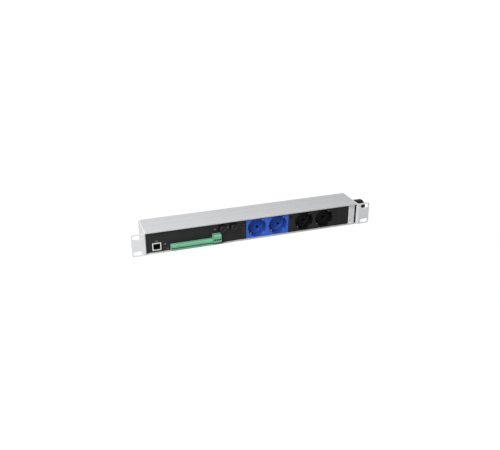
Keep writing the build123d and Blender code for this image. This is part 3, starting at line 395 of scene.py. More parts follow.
PROFILE = DrawnMetal("anodised_profile", (0.56, 0.565, 0.575), metallic=0.1, rough=0.62,
                     rough_spread=0.02, specular=0.2, tone_spread=0.008,
                     lines=(2.5, 700.0, 700.0), line_depth=1.5e-6)
BLUE = MouldedPlastic("socket_blue", (0.042, 0.13, 0.60), rough=0.55, tone_spread=0.04,
                      specular=0.2)
BLACK = MouldedPlastic("socket_black", (0.0165, 0.0165, 0.017), rough=0.6, tone_spread=0.1,
                       specular=0.14)
FINISHES: dict[str, Finish] = {
    f.name: f for f in (
        PROFILE,
        # a darker copy of the profile: painted shade in the fine lines' grooves
        replace(PROFILE, name="groove_painted_shade", colour=(0.47, 0.475, 0.485), tone_spread=0.01),
        DrawnMetal("anodised_plate", (0.735, 0.745, 0.76), metallic=0.2, rough=0.55,
                   rough_spread=0.03, specular=0.25, tone_spread=0.01, lines=(500.0, 500.0, 8.0),
                   line_depth=2e-6),
        DrawnMetal("cover_silver", (0.80, 0.80, 0.805), metallic=0.35, rough=0.42,
                   rough_spread=0.02, tone_spread=0.008, lines=(600.0, 600.0, 6.0),
                   line_depth=1.5e-6),
        MouldedPlastic("black_panel", (0.018, 0.018, 0.0185), rough=0.55, tone_spread=0.12,
                       specular=0.18),
        MouldedPlastic("filler_black", (0.013, 0.013, 0.0135), rough=0.55, tone_spread=0.12,
                       specular=0.18),
        # the darkest black; on the fuse holders and the fuse caps' sides it is painted shade
        MouldedPlastic("bezel_black_and_shade", (0.003, 0.003, 0.003), rough=0.5, specular=0.12),
        BLUE,
        # a darker copy of the blue moulding: painted shade on the recesses' walls and ribs
        replace(BLUE, name="socket_blue_wall", colour=(0.021, 0.068, 0.335)),
        BLACK,
        # darker copies of the black moulding: painted shade on the recesses' walls, ribs and floors
        replace(BLACK, name="socket_black_wall", colour=(0.0055, 0.0055, 0.0058), specular=0.1),
        replace(BLACK, name="socket_black_floor_painted_shade", colour=(0.0105, 0.0105, 0.011)),
        MouldedPlastic("terminal_green", (0.175, 0.46, 0.29), rough=0.48, tone_spread=0.05,
                       specular=0.35),
        MouldedPlastic("fuse_black", (0.019, 0.019, 0.0195), rough=0.4, tone_spread=0.1,
                       specular=0.25),
        MouldedPlastic("gland_black", (0.004, 0.004, 0.0042), rough=0.5, tone_spread=0.1,
                       specular=0.12),
        MouldedPlastic("insert_black", (0.006, 0.006, 0.006), rough=0.5, specular=0.2),
        MouldedPlastic("base_grey", (0.42, 0.42, 0.42), rough=0.55),
        MouldedPlastic("terminal_grey", (0.48, 0.48, 0.46), rough=0.5),
        MouldedPlastic("relay_blue", (0.02, 0.07, 0.30), rough=0.3, coat=0.2),
        Finish("potting_black", (0.02, 0.02, 0.022), rough=0.6),
        Finish("seal_rubber", (0.014, 0.014, 0.014), rough=0.7, grain_depth=2e-5, specular=0.3),
        Finish("label_white", (0.74, 0.74, 0.745), rough=0.4, tone_spread=0.015,
               grain_depth=3e-6),
        Finish("printed_mark", (0.26, 0.26, 0.26), rough=0.5, grain_depth=2e-6),
        # near black: painted shade in the hollows of the screws' hexagon sockets
        Finish("socket_painted_shade", (0.008, 0.008, 0.008), metallic=0.3, rough=0.55, specular=0.2),
        # near black: the wire clamps stand in the painted shade of the wire ways
        Finish("clamp_steel_in_painted_shade", (0.012, 0.012, 0.012), metallic=0.4, rough=0.5, specular=0.2),
        Finish("screw_zinc", (0.66, 0.67, 0.66), metallic=0.8, rough=0.36, tone_spread=0.1),
        Finish("screw_dull", (0.17, 0.18, 0.17), metallic=0.6, rough=0.45, tone_spread=0.1),
        Finish("shell_plated", (0.84, 0.84, 0.83), metallic=0.6, rough=0.3, tone_spread=0.06),
        Finish("contact_gold", (0.34, 0.24, 0.09), metallic=1.0, rough=0.3),
        # darkened far below brass so that the contacts seen in the socket holes read as painted
        # shade
        Finish("contact_brass", (0.07, 0.05, 0.028), metallic=0.9, rough=0.42, tone_spread=0.12),
        Finish("pin_tinned", (0.66, 0.65, 0.62), metallic=1.0, rough=0.35),
        Finish("earth_copper", (1.0, 0.60, 0.42), metallic=0.05, rough=0.38, tone_spread=0.1),
        Finish("earth_nickel", (0.60, 0.58, 0.55), metallic=0.15, rough=0.4, tone_spread=0.1),
        Finish("spacer_brass", (0.72, 0.55, 0.25), metallic=1.0, rough=0.35),
        CircuitBoard("board_green", (0.02, 0.16, 0.06), rough=0.4, coat=0.3),
        ClearFinish("fuse_glass", (0.92, 0.95, 0.95), rough=0.05, rough_spread=0.02),
        ClearFinish("lens_smoke", (0.004, 0.004, 0.004), rough=0.35, transmission=0.1,
                    specular=0.1),
        ClearFinish("lens_green", (0.002, 0.022, 0.026), rough=0.35, transmission=0.1,
                    specular=0.1),
        # a lighter grey on the lens's flat centre: painted reflection
        Finish("lens_painted_reflection", (0.032, 0.032, 0.034), rough=0.3, tone_spread=0.1),
        Finish("wire_brown", (0.11, 0.045, 0.02), rough=0.45),
        Finish("wire_blue", (0.03, 0.09, 0.42), rough=0.45),
        Finish("wire_earth", (0.30, 0.45, 0.04), rough=0.45),
    )
}


class Paintbox:
    """Builds each finish once and hands it out by name."""

    def __init__(self) -> None:
        """Starts with no finish built."""
        self.built: dict[str, bpy.types.Material] = {}

    def get(self, name: str) -> bpy.types.Material:
        """The material of a finish.

        Args:
            name: The finish's name.

        Returns:
            The one material of that name.
        """
        if name not in self.built:
            self.built[name] = FINISHES[name].build()
        return self.built[name]


PAINTS = Paintbox()


def node_object(node: str) -> bpy.types.Object:
    """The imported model's object of a node."""
    return FRAME["nodes"][node]


def paint(node: str, finish: str) -> None:
    """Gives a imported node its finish.

    Args:
        node: The node's name.
        finish: The finish's name.
    """
    target = node_object(node)
    if not target.material_slots:
        target.data.materials.append(PAINTS.get(finish))
    for place in target.material_slots:
        place.material = PAINTS.get(finish)


def new_piece(name: str, mesh: bpy.types.Mesh, finish: str, body: str,
              replaced: Sequence[str] = ()) -> bpy.types.Object:
    """Puts a finished mesh in the scene and makes it ride.

    Args:
        name: The piece's name.
        mesh: Its mesh, in place.
        finish: The finish's name.
        body: The body that it moves with.
        replaced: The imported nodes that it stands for.

    Returns:
        The new object.
    """
    piece = bpy.data.objects.new(name, mesh)
    bpy.context.scene.collection.objects.link(piece)
    mesh.materials.clear()
    mesh.materials.append(PAINTS.get(finish))
    for face in mesh.polygons:
        face.material_index = 0
    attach(piece, body)
    if replaced:
        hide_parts(*replaced)
    log.info("piece %s on %s: %d faces", name, body, len(mesh.polygons))
    return piece


def recast(node: str, finish: str, body: str = "unit",
           sharp: float = 32.0) -> bpy.types.Object:
    """Stands a merged, smooth-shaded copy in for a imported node.

    Args:
        node: The node's name.
        finish: The finish's name.
        body: The body that it moves with.
        sharp: The angle in degrees above which an edge stays sharp.

    Returns:
        The new object.
    """
    shape = bmesh.new()
    shape.from_mesh(node_object(node).data)
    bmesh.ops.remove_doubles(shape, verts=shape.verts, dist=MERGE_GAP)
    bmesh.ops.dissolve_degenerate(shape, edges=shape.edges, dist=SPECK)
    for face in shape.faces:
        face.smooth = True
    mesh = bpy.data.meshes.new(node + "_smooth")
    shape.to_mesh(mesh)
    shape.free()
    mesh.set_sharp_from_angle(angle=math.radians(sharp))
    return new_piece(node + "_smooth", evened(mesh), finish, body, [node])


def evened(mesh: bpy.types.Mesh) -> bpy.types.Mesh:
    """Weights a mesh's normals by face area, so that flats beside rounded edges shade flat.

    Args:
        mesh: The shaded mesh, which is used up.

    Returns:
        The mesh with its normals set.
    """
    holder = bpy.data.objects.new(mesh.name + "_holder", mesh)
    bpy.context.scene.collection.objects.link(holder)
    modifier = holder.modifiers.new("even", "WEIGHTED_NORMAL")
    modifier.keep_sharp = True
    graph = bpy.context.evaluated_depsgraph_get()
    graph.update()
    result = bpy.data.meshes.new_from_object(holder.evaluated_get(graph))
    holder.modifiers.remove(modifier)
    bpy.data.objects.remove(holder)
    bpy.data.meshes.remove(mesh)
    return result


def accent(piece: bpy.types.Object, finish: str, chosen: Chooser) -> None:
    """Gives some faces of a piece a second finish.

    Args:
        piece: The piece.
        finish: The second finish's name.
        chosen: Says from a face's centre and normal whether it takes the finish.
    """
    mesh = piece.data
    mesh.materials.append(PAINTS.get(finish))
    place = len(mesh.materials) - 1
    faces = [face for face in mesh.polygons if chosen(face.center, face.normal)]
    for face in faces:
        face.material_index = place
    log.info("%s: %d faces in %s", piece.name, len(faces), finish)


class NodeTree:
    """A Geometry Nodes tree with named inputs, built in code."""

    def __init__(self, name: str) -> None:
        """Starts a tree with a geometry output.

        Args:
            name: The tree's name.
        """
        self.tree = bpy.data.node_groups.new(name, "GeometryNodeTree")
        for way in ("INPUT", "OUTPUT"):
            self.tree.interface.new_socket("Geometry", in_out=way,
                                           socket_type="NodeSocketGeometry")
        self.values: dict[str, object] = {}
        self.source = self.tree.nodes.new("NodeGroupInput")
        self.sink = self.tree.nodes.new("NodeGroupOutput")

    def number(self, name: str, value: float) -> Socket:
        """Adds a named size.

        Args:
            name: The input's name.
            value: The value that the modifier gives it.

        Returns:
            The socket that holds it inside the tree.
        """
        self.tree.interface.new_socket(name, in_out="INPUT", socket_type="NodeSocketFloat")
        self.values[name] = float(value)
        return self.source.outputs[name]

    def add(self, kind: str, **inputs: object) -> bpy.types.Node:
        """Adds a node and sets or links its inputs.

        Args:
            kind: Blender's type name of the node.
            inputs: Attributes of the node, or its inputs with underscores for spaces. A socket is
                linked and anything else is set.

        Returns:
            The new node.
        """
        node = self.tree.nodes.new(kind)
        for key, value in inputs.items():
            name = key.replace("_", " ")
            if name in node.inputs:
                self.feed(node.inputs[name], value)
            else:
                setattr(node, key, value)
        return node

    def feed(self, target: Socket, value: object) -> None:
        """Links a socket to an input, or sets the input to anything else."""
        if isinstance(value, Socket):
            self.tree.links.new(value, target)
        else:
            target.default_value = value

    def maths(self, operation: str, *values: object) -> Socket:
        """The result of a sum with numbers or sockets."""
        node = self.add("ShaderNodeMath", operation=operation)
        for target, value in zip(node.inputs, values):
            self.feed(target, value)
        return node.outputs[0]

    def vector(self, x: object = 0.0, y: object = 0.0, z: object = 0.0) -> Socket:
        """A vector from numbers or sockets."""
        return self.add("ShaderNodeCombineXYZ", X=x, Y=y, Z=z).outputs["Vector"]

    def bars(self) -> Socket:
        """The points' attribute named bar."""
        return self.add("GeometryNodeInputNamedAttribute", data_type="FLOAT_VECTOR",
                        Name="bar").outputs["Attribute"]

    def boolean(self, operation: str, *meshes: Socket) -> Socket:
        """Joins meshes, or cuts the others from the first.

        Args:
            operation: UNION or DIFFERENCE.
            meshes: The meshes' sockets.

        Returns:
            The socket of the result.
        """
        node = self.add("GeometryNodeMeshBoolean", operation=operation)
        if operation == "DIFFERENCE":
            self.tree.links.new(meshes[0], node.inputs[0])
            meshes = meshes[1:]
        for mesh in meshes:
            self.tree.links.new(mesh, node.inputs[1])
        return node.outputs["Mesh"]

    def finish(self, shape: Socket, finish: str, **settings: Socket) -> None:
        """Places a shape on every point and ends the tree in real, painted geometry.

        Args:
            shape: The shape to place.
            finish: The finish's name.
            settings: The shape's scale or rotation.
        """
        placed = self.add("GeometryNodeInstanceOnPoints", Points=self.source.outputs["Geometry"],
                          Instance=shape, **settings)
        real = self.add("GeometryNodeRealizeInstances", Geometry=placed.outputs["Instances"])
        painted = self.add("GeometryNodeSetMaterial", Geometry=real.outputs["Geometry"],
                           Material=PAINTS.get(finish))
        self.tree.links.new(painted.outputs["Geometry"], self.sink.inputs["Geometry"])

    def evaluate(self, name: str, points: Sequence[Vector],
                 bars: Sequence[Triple] = ()) -> bpy.types.Mesh:
        """Runs the tree on a cloud of points and keeps the result as a plain mesh.

        Args:
            name: The mesh's name.
            points: The places that the tree works on.
            bars: A size for each point, kept as its attribute named bar.

        Returns:
            The mesh.
        """
        seed = bpy.data.meshes.new(name + "_points")
        seed.from_pydata([tuple(p) for p in points], [], [])
        if bars:
            sizes = seed.attributes.new("bar", "FLOAT_VECTOR", "POINT")
            for item, size in zip(sizes.data, bars):
                item.vector = size
        holder = bpy.data.objects.new(name + "_points", seed)
        bpy.context.scene.collection.objects.link(holder)
        modifier = holder.modifiers.new("tree", "NODES")
        modifier.node_group = self.tree
        for item in self.tree.interface.items_tree:
            if item.in_out == "INPUT" and item.name in self.values:
                modifier[item.identifier] = self.values[item.name]
        graph = bpy.context.evaluated_depsgraph_get()
        graph.update()
        mesh = bpy.data.meshes.new_from_object(holder.evaluated_get(graph))
        mesh.name = name
        holder.modifiers.remove(modifier)
        bpy.data.objects.remove(holder)
        bpy.data.meshes.remove(seed)
        return mesh


@dataclass
class Channel:
    """The extruded housing, its end plates and their screws.

    Attributes:
        profile: The channel's node.
        plates: The end plates' nodes.
        line_depth: The depth of the fine lines in the channel's broad faces, in millimetres.
        line_inset: How far in from the channel's edges the lines begin, in millimetres.
        socket_depth: The depth of the screws' hexagon sockets, in millimetres.
        slack: How far a face may lie from where it should, in millimetres.
    """

    profile: str = "housing_profile"
    plates: tuple[str, str] = ("end_plate_left", "end_plate_right")
    line_depth: float = 0.5
    line_inset: float = 3.0
    socket_depth: float = 1.6
    slack: float = 0.02

    def build(self) -> None:
        """Finishes the channel, the plates and the screws."""
        channel = recast(self.profile, "anodised_profile", sharp=24.0)
        # the fine lines take a darker copy of the channel's finish as painted shade
        accent(channel, "groove_painted_shade", self.in_line)
        for plate in self.plates:
            recast(plate, "anodised_plate", sharp=24.0)
        screws = recast("end_screws", "screw_zinc")
        # the hexagon sockets take a near-black finish: painted shade in their hollows
        accent(screws, "socket_painted_shade", self.in_socket)

    def in_line(self, centre: Vector, _: Vector) -> bool:
        """Whether a face of the channel lies in one of its fine lines, whose faces take painted
        shade.

        Args:
            centre: The face's centre.
            _: The face's normal, which doesn't matter.

        Returns:
            True between the line's foot and the broad face, away from the channel's edges.
        """
        low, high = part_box(self.profile)
        inset = self.line_inset * MM
        sunk = (high.z - abs(centre.z)) / MM
        return self.slack / 2 < sunk < self.line_depth and low.y + inset < centre.y < high.y - inset

    def in_socket(self, centre: Vector, normal: Vector) -> bool:
        """Whether a screw's face belongs to its hexagon socket, where shade is painted.

        Args:
            centre: The face's centre.
            normal: The face's normal.

        Returns:
            True on the socket's six walls and its floor.
        """
        depth = (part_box("end_screws")[1].x - abs(centre.x)) / MM
        wall = self.slack < depth < self.socket_depth + self.slack and abs(normal.x) < NEARLY
        floor = abs(depth - self.socket_depth) < NEARLY and abs(normal.x) > 1 - NEARLY
        return wall or floor


@dataclass
class PrintedMarks:
    """Short printed bars that mark the ports on the control panel.

    Attributes:
        bars: Each bar's X, Z, length and height in millimetres.
        thickness: How far the print stands off the panel, in millimetres.
    """

    bars: tuple[tuple[float, float, float, float], ...] = (
        (-195.0, 1.9, 5.0, 0.9),
        (-179.3, -4.9, 2.6, 0.8),
        (-179.3, -6.6, 2.6, 0.8),
        (-174.6, -16.1, 2.4, 0.8),
        (-83.4, 8.7, 3.4, 1.3),
        (-58.1, 9.3, 2.6, 1.3),
    )
    thickness: float = 0.05

    def build(self) -> None:
        """Places a flat bar at each mark with an instancing tree."""
        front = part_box("control_panel")[0].y - self.thickness * MM / 2
        tree = NodeTree("printed_bars")
        thick = tree.number("Thickness", self.thickness * MM)
        bar = tree.add("GeometryNodeMeshCube", Size=tree.vector(x=1.0, y=thick, z=1.0))
        tree.finish(bar.outputs["Mesh"], "printed_mark", Scale=tree.bars())
        places = [Vector((x * MM, front, z * MM)) for x, z, _, _ in self.bars]
        sizes = [(length * MM, 1.0, height * MM) for _, _, length, height in self.bars]
        mesh = tree.evaluate("panel_marks", places, sizes)
        new_piece("panel_marks", mesh, "printed_mark", "unit")


@dataclass
class NetworkPort:
    """The plated port with its insert and gold contacts."""

    def build(self) -> None:
        """Finishes the three pieces."""
        recast("network_port_shell", "shell_plated")
        paint("network_port_insert", "insert_black")
        paint("network_port_contacts", "contact_gold")


@dataclass
class TerminalPlug:
    """One pluggable terminal with its clamp screws and wire clamps.

    Attributes:
        number: The plug's number in the row.
        poles: How many poles it has.
        rim_share: The screw's radius over its chamfer, as a share of its radius.
        chamfer_share: The chamfer's height as a share of the screw's radius.
        slot_share: The screw slot's width as a share of the screw's radius.
        slot_depth: The slot's depth in millimetres.
        slot_run: The length of the slot's cutter in millimetres, longer than any screw is wide.
        facets: How many sides a screw has.
        clamp: The clamp's width, length and height in millimetres.
        clamp_wall: The clamp's wall in millimetres.
        clamp_bite: The depth of the clamp's mouth, in millimetres.
        clamp_back: How far the clamp sits behind the plug's front, in millimetres.
        way_rise: The wire way's height over the plug's foot, in millimetres.
    """

    number: int
    poles: int
    rim_share: float = 0.86
    chamfer_share: float = 0.16
    slot_share: float = 0.42
    slot_depth: float = 0.7
    slot_run: float = 20.0
    facets: int = 36
    clamp: Triple = (2.5, 3.0, 2.9)
    clamp_wall: float = 0.32
    clamp_bite: float = 1.4
    clamp_back: float = 0.35
    way_rise: float = 3.7

    @property
    def body(self) -> str:
        """The body that the plug moves with."""
        return f"terminal_plug_{self.number}"

    def build(self) -> None:
        """Finishes the moulding and adds its screws and clamps."""
        recast(self.body, "terminal_green", self.body)
        self.add_screws()
        self.add_clamps()

    def screw_places(self) -> tuple[list[Vector], float, float]:
        """Where the clamp screws stand.

        Returns:
            The centre of each head's top, the screw's radius and its length.
        """
        low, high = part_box(f"plug_screws_{self.number}")
        radius = (high.y - low.y) / 2
        step = (high.x - low.x - 2 * radius) / (self.poles - 1)
        y = (low.y + high.y) / 2
        tops = [Vector((low.x + radius + i * step, y, high.z)) for i in range(self.poles)]
        return tops, radius, high.z - low.z

    def add_screws(self) -> None:
        """Instances a chamfered, slotted screw at each pole, in place of the plain ones."""
        tops, radius, length = self.screw_places()
        tree = NodeTree(f"clamp_screws_{self.number}")
        r = tree.number("Radius", radius)
        rim = tree.number("Rim radius", radius * self.rim_share)
        chamfer = tree.number("Chamfer", radius * self.chamfer_share)
        slot = tree.number("Slot width", radius * self.slot_share)
        deep = tree.number("Slot depth", self.slot_depth * MM)
        long = tree.number("Length", length - radius * self.chamfer_share)
        shank = tree.add("GeometryNodeMeshCylinder", fill_type="NGON", Vertices=self.facets,
                         Radius=r, Depth=long)
        head = tree.add("GeometryNodeMeshCone", fill_type="NGON", Vertices=self.facets,
                        Radius_Top=rim, Radius_Bottom=r, Depth=chamfer)
        below = tree.maths("MULTIPLY", chamfer, -1.0)
        under = tree.maths("MULTIPLY_ADD", long, -0.5, below)
        shank_low = tree.add("GeometryNodeTransform", Geometry=shank.outputs["Mesh"],
                             Translation=tree.vector(z=under))
        head_low = tree.add("GeometryNodeTransform", Geometry=head.outputs["Mesh"],
                            Translation=tree.vector(z=below))
        cutter = tree.add("GeometryNodeMeshCube",
                          Size=tree.vector(x=self.slot_run * MM, y=slot, z=deep))
        joined = tree.boolean("UNION", shank_low.outputs["Geometry"],
                              head_low.outputs["Geometry"])
        slotted = tree.boolean("DIFFERENCE", joined, cutter.outputs["Mesh"])
        tree.finish(slotted, "screw_dull")
        mesh = tree.evaluate(f"clamp_screws_{self.number}", tops)
        shade(mesh, sharp=30.0)
        new_piece(f"clamp_screws_{self.number}", mesh, "screw_dull", self.body,
                  [f"plug_screws_{self.number}"])

    def add_clamps(self) -> None:
        """Instances the plated wire clamp that shows in each wire way; its near-black finish is
        painted shade in the way.
        """
        low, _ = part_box(self.body)
        tops, _, _ = self.screw_places()
        width, length, height = (v * MM for v in self.clamp)
        tree = NodeTree(f"wire_clamps_{self.number}")
        size = [tree.number(n, v) for n, v in zip(("Width", "Length", "Height"),
                                                  (width, length, height))]
        inside = [tree.number(n, v - 2 * self.clamp_wall * MM)
                  for n, v in (("Way width", width), ("Way height", height))]
        bite = tree.number("Bite", 2 * self.clamp_bite * MM)
        front = tree.number("Front", -length / 2)
        outer = tree.add("GeometryNodeMeshCube", Size=tree.vector(*size))
        mouth = tree.add("GeometryNodeMeshCube", Size=tree.vector(inside[0], bite, inside[1]))
        inner = tree.add("GeometryNodeTransform", Geometry=mouth.outputs["Mesh"],
                         Translation=tree.vector(y=front))
        cage = tree.boolean("DIFFERENCE", outer.outputs["Mesh"], inner.outputs["Geometry"])
        tree.finish(cage, "clamp_steel_in_painted_shade")
        y = low.y + self.clamp_back * MM + length / 2
        places = [Vector((top.x, y, low.z + self.way_rise * MM)) for top in tops]
        mesh = tree.evaluate(f"wire_clamps_{self.number}", places)
        new_piece(f"wire_clamps_{self.number}", mesh, "clamp_steel_in_painted_shade", self.body)


@dataclass
class ControlSection:
    """The control panel with its port, terminals, marks and fuse holders.

    Attributes:
        small_poles: The poles of each small plug.
        marks: The panel's printed bars.
        port: The network port.
        cap_facing: How squarely a fuse cap's faces must face the front to keep the lighter black;
            its sides take the painted shade.
    """

    small_poles: tuple[int, ...] = (4, 5, 6, 6)
    marks: PrintedMarks = field(default_factory=PrintedMarks)
    port: NetworkPort = field(default_factory=NetworkPort)
    cap_facing: float = 0.5

    def plugs(self) -> list[TerminalPlug]:
        """The four small plugs and the large one."""
        row = [TerminalPlug(i, poles) for i, poles in enumerate(self.small_poles, start=1)]
        row.append(TerminalPlug(5, 3, slot_depth=1.0, clamp=(3.3, 3.6, 3.8), clamp_wall=0.4,
                                clamp_back=0.5, way_rise=5.0))
        return row

    def build(self) -> None:
        """Finishes the panel and everything on it."""
        paint("control_panel", "black_panel")
        self.marks.build()
        self.port.build()
        paint("terminal_headers", "terminal_green")
        paint("header_pins", "pin_tinned")
        for plug in self.plugs():
            plug.build()
        for number in (1, 2):
            # the holders and the caps' sides take the darkest black as painted shade round the
            # fuses; the caps' fronts keep the lighter black
            recast(f"fuse_holder_{number}", "bezel_black_and_shade")
            cap = recast(f"fuse_cap_{number}", "bezel_black_and_shade", f"fuse_cap_{number}")
            accent(cap, "fuse_black", lambda _, normal: normal.y < -self.cap_facing)
            recast(f"fuse_link_{number}", "fuse_glass", f"fuse_cap_{number}")
        paint("fuse_nuts", "fuse_black")


@dataclass
class SocketPair:
    """A twin socket block with its base and earth contacts.

    Attributes:
        name: The block's name in the model.
        finish: The moulding's finish.
        earth: The earth stamping's finish.
        floor: The finish of painted shade on the recesses' floors, where it isn't the moulding's.
        wall_depth: The least depth of the recesses' walls, in millimetres.
        wall_reach: Their least distance from the socket's axis, in millimetres.
        wall_slope: How far their normals may lean forward.
        floor_depth: The least depth of the recesses' floors, in millimetres.
        pitch: The distance between the two sockets, in millimetres.
        arm_spread: The distance between the two arms of a clip, in millimetres.
        arm_tip: The radius and depth at which an arm's face begins, in millimetres.
        arm_nose: The radius and depth at which it stands furthest in, in millimetres.
        pad: The width, thickness and length of the pad on an arm, in millimetres.
        pad_at: Where the pad sits on the way from the arm's tip to its nose.
    """

    name: str
    finish: str
    earth: str
    floor: str = ""
    wall_depth: float = 0.6
    wall_reach: float = 13.0
    wall_slope: float = 0.4
    floor_depth: float = 15.0
    pitch: float = 43.0
    arm_spread: float = 8.0
    arm_tip: tuple[float, float] = (18.3, 7.4)
    arm_nose: tuple[float, float] = (16.7, 11.6)
    pad: Triple = (3.0, 1.1, 3.8)
    pad_at: float = 0.8

    def build(self) -> None:
        """Finishes the block."""
        self.paint_recess_shade(recast(f"socket_block_{self.name}", self.finish))
        recast(f"earth_bar_{self.name}", self.earth)
        paint(f"socket_base_{self.name}", "base_grey")
        self.add_pads()

    def paint_recess_shade(self, block: bpy.types.Object) -> None:
        """Gives the recesses' walls and ribs, and where asked the floors, darker copies of the
        moulding's finish as painted shade.

        Args:
            block: The block's visible piece.
        """
        low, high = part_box(f"socket_block_{self.name}")
        middle = (low.x + high.x) / 2

        def on_wall(centre: Vector, normal: Vector) -> bool:
            """Whether a face belongs to a recess's round wall or its guide ribs."""
            aside = abs(centre.x - middle) - self.pitch * MM / 2
            return (centre.y - low.y > self.wall_depth * MM and abs(normal.y) < self.wall_slope
                    and math.hypot(aside, centre.z) > self.wall_reach * MM)

        def on_floor(centre: Vector, normal: Vector) -> bool:
            """Whether a face belongs to a recess's floor."""
            return centre.y - low.y > self.floor_depth * MM and normal.y < -self.wall_slope

        # the walls take the finish named with _wall, a darker copy painted as shade
        accent(block, f"{self.finish}_wall", on_wall)
        if self.floor:
            accent(block, self.floor, on_floor)

    def pad_places(self) -> tuple[list[Vector], list[Triple]]:
        """Where the contact pads sit on the arms.

        Returns:
            Each pad's centre and its turn in radians.
        """
        low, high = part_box(f"socket_block_{self.name}")
        places, turns = [], []
        for x in ((low.x + high.x - self.pitch * MM) / 2, (low.x + high.x + self.pitch * MM) / 2):
            for clip in EarthClip:
                angle = math.radians(clip.value)
                outward = Vector((math.cos(angle), 0.0, math.sin(angle)))
                across = Vector((-math.sin(angle), 0.0, math.cos(angle)))
                tip, nose = (outward * (r * MM) + Vector((x, low.y + d * MM, 0.0))
                             for r, d in (self.arm_tip, self.arm_nose))
                run = (nose - tip).normalized()
                turn = Matrix((across, run.cross(across), run)).transposed().to_euler()
                for side in (-0.5, 0.5):
                    places.append(tip.lerp(nose, self.pad_at)
                                  + across * (side * self.arm_spread * MM))
                    turns.append(tuple(turn))
        return places, turns

    def add_pads(self) -> None:
        """Instances a domed contact pad on the face of each sprung arm."""
        tree = NodeTree(f"earth_pads_{self.name}")
        size = [tree.number(n, v * MM) for n, v in zip(("Width", "Thickness", "Length"), self.pad)]
        dome = tree.add("GeometryNodeMeshUVSphere", Segments=20, Rings=12, Radius=0.5)
        pad = tree.add("GeometryNodeTransform", Geometry=dome.outputs["Mesh"],
                       Scale=tree.vector(*size))
        tree.finish(pad.outputs["Geometry"], self.earth, Rotation=tree.bars())
        mesh = tree.evaluate(f"earth_pads_{self.name}", *self.pad_places())
        shade(mesh, sharp=60.0)
        new_piece(f"earth_pads_{self.name}", mesh, self.earth, "unit")


@dataclass
class FrontCovers:
    """The fillers with their indicators, the blanks and the end cover.

    Attributes:
        bezel_radius: The radius of the ring round an indicator, in millimetres.
        bezel_rise: How far the ring stands off its filler, in millimetres.
        lens_facing: How squarely the faces of the lens's lighter centre, a painted reflection, face
            the front.
    """

    bezel_radius: float = 3.45
    bezel_rise: float = 0.55
    lens_facing: float = 0.99

    def build(self) -> None:
        """Finishes each cover."""
        self.add_filler(1)
        dome = recast("indicator_lens_1", "lens_smoke")
        # the lens's flat centre takes a lighter grey as a painted reflection
        accent(dome, "lens_painted_reflection", lambda _, normal: normal.y < -self.lens_facing)
        self.add_filler(2)
        recast("indicator_lens_2", "lens_green")
        for name in ("spacer_blank", "wide_blank"):
            recast(name, "filler_black")
        recast("end_strip", "bezel_black_and_shade")
        recast("end_cover", "cover_silver")
        recast("end_cover_label", "label_white")

    def add_filler(self, number: int) -> None:
        """Finishes a filler, with a darker ring round its indicator.

        Args:
            number: The filler's number in the row.
        """
        low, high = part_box(f"indicator_lens_{number}")
        middle = (low + high) / 2
        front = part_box(f"indicator_filler_{number}")[0].y + self.bezel_rise * MM
        filler = recast(f"indicator_filler_{number}", "black_panel")
        accent(filler, "bezel_black_and_shade", lambda centre, _: centre.y < front and math.hypot(
            centre.x - middle.x, centre.z - middle.z) < self.bezel_radius * MM)


@dataclass
class CableGland:
    """The gland on the right end plate."""

    def build(self) -> None:
        """Finishes its pieces."""
        for name in ("gland_body", "gland_nut", "gland_locknut"):
            recast(name, "gland_black")
        for name in ("gland_seal", "gland_gasket"):
            recast(name, "seal_rubber")


@dataclass
class Inside:
    """The boards, the contact bars and the wiring, hidden when the unit is closed."""

    painted: dict[str, str] = field(default_factory=lambda: {
        "io_board": "board_green", "power_board": "board_green", "board_spacers": "spacer_brass",
        "power_supply": "potting_black", "relays": "relay_blue", "board_terminal": "terminal_grey",
        # the contact bars' brass is darkened as painted shade in the socket holes
        "contact_bars": "contact_brass", "mains_terminal": "terminal_grey",
        "line_wires": "wire_brown", "neutral_wires": "wire_blue", "earth_wires": "wire_earth"})

    def build(self) -> None:
        """Finishes the hidden pieces."""
        for node, finish in self.painted.items():
            paint(node, finish)


def shade(mesh: bpy.types.Mesh, sharp: float) -> None:
    """Shades a mesh smooth up to an angle.

    Args:
        mesh: The mesh.
        sharp: The angle in degrees above which an edge stays sharp.
    """
    for face in mesh.polygons:
        face.use_smooth = True
    mesh.set_sharp_from_angle(angle=math.radians(sharp))


@dataclass(frozen=True)
class Softbox:
    """A square lamp that faces the object.

    Attributes:
        name: The lamp's name.
        place: Where it hangs, in metres.
        size: Its side in metres.
        power: Its power in watts.
    """

    name: str
    place: Triple
    size: float
    power: float

    def build(self) -> None:
        """Hangs the lamp."""
        data = bpy.data.lights.new(self.name, "AREA")
        data.shape = "SQUARE"
        data.size = self.size
        data.energy = self.power
        lamp = bpy.data.objects.new(self.name, data)
        lamp.location = self.place
        lamp.rotation_euler = Vector(self.place).to_track_quat("Z", "Y").to_euler()
        bpy.context.scene.collection.objects.link(lamp)


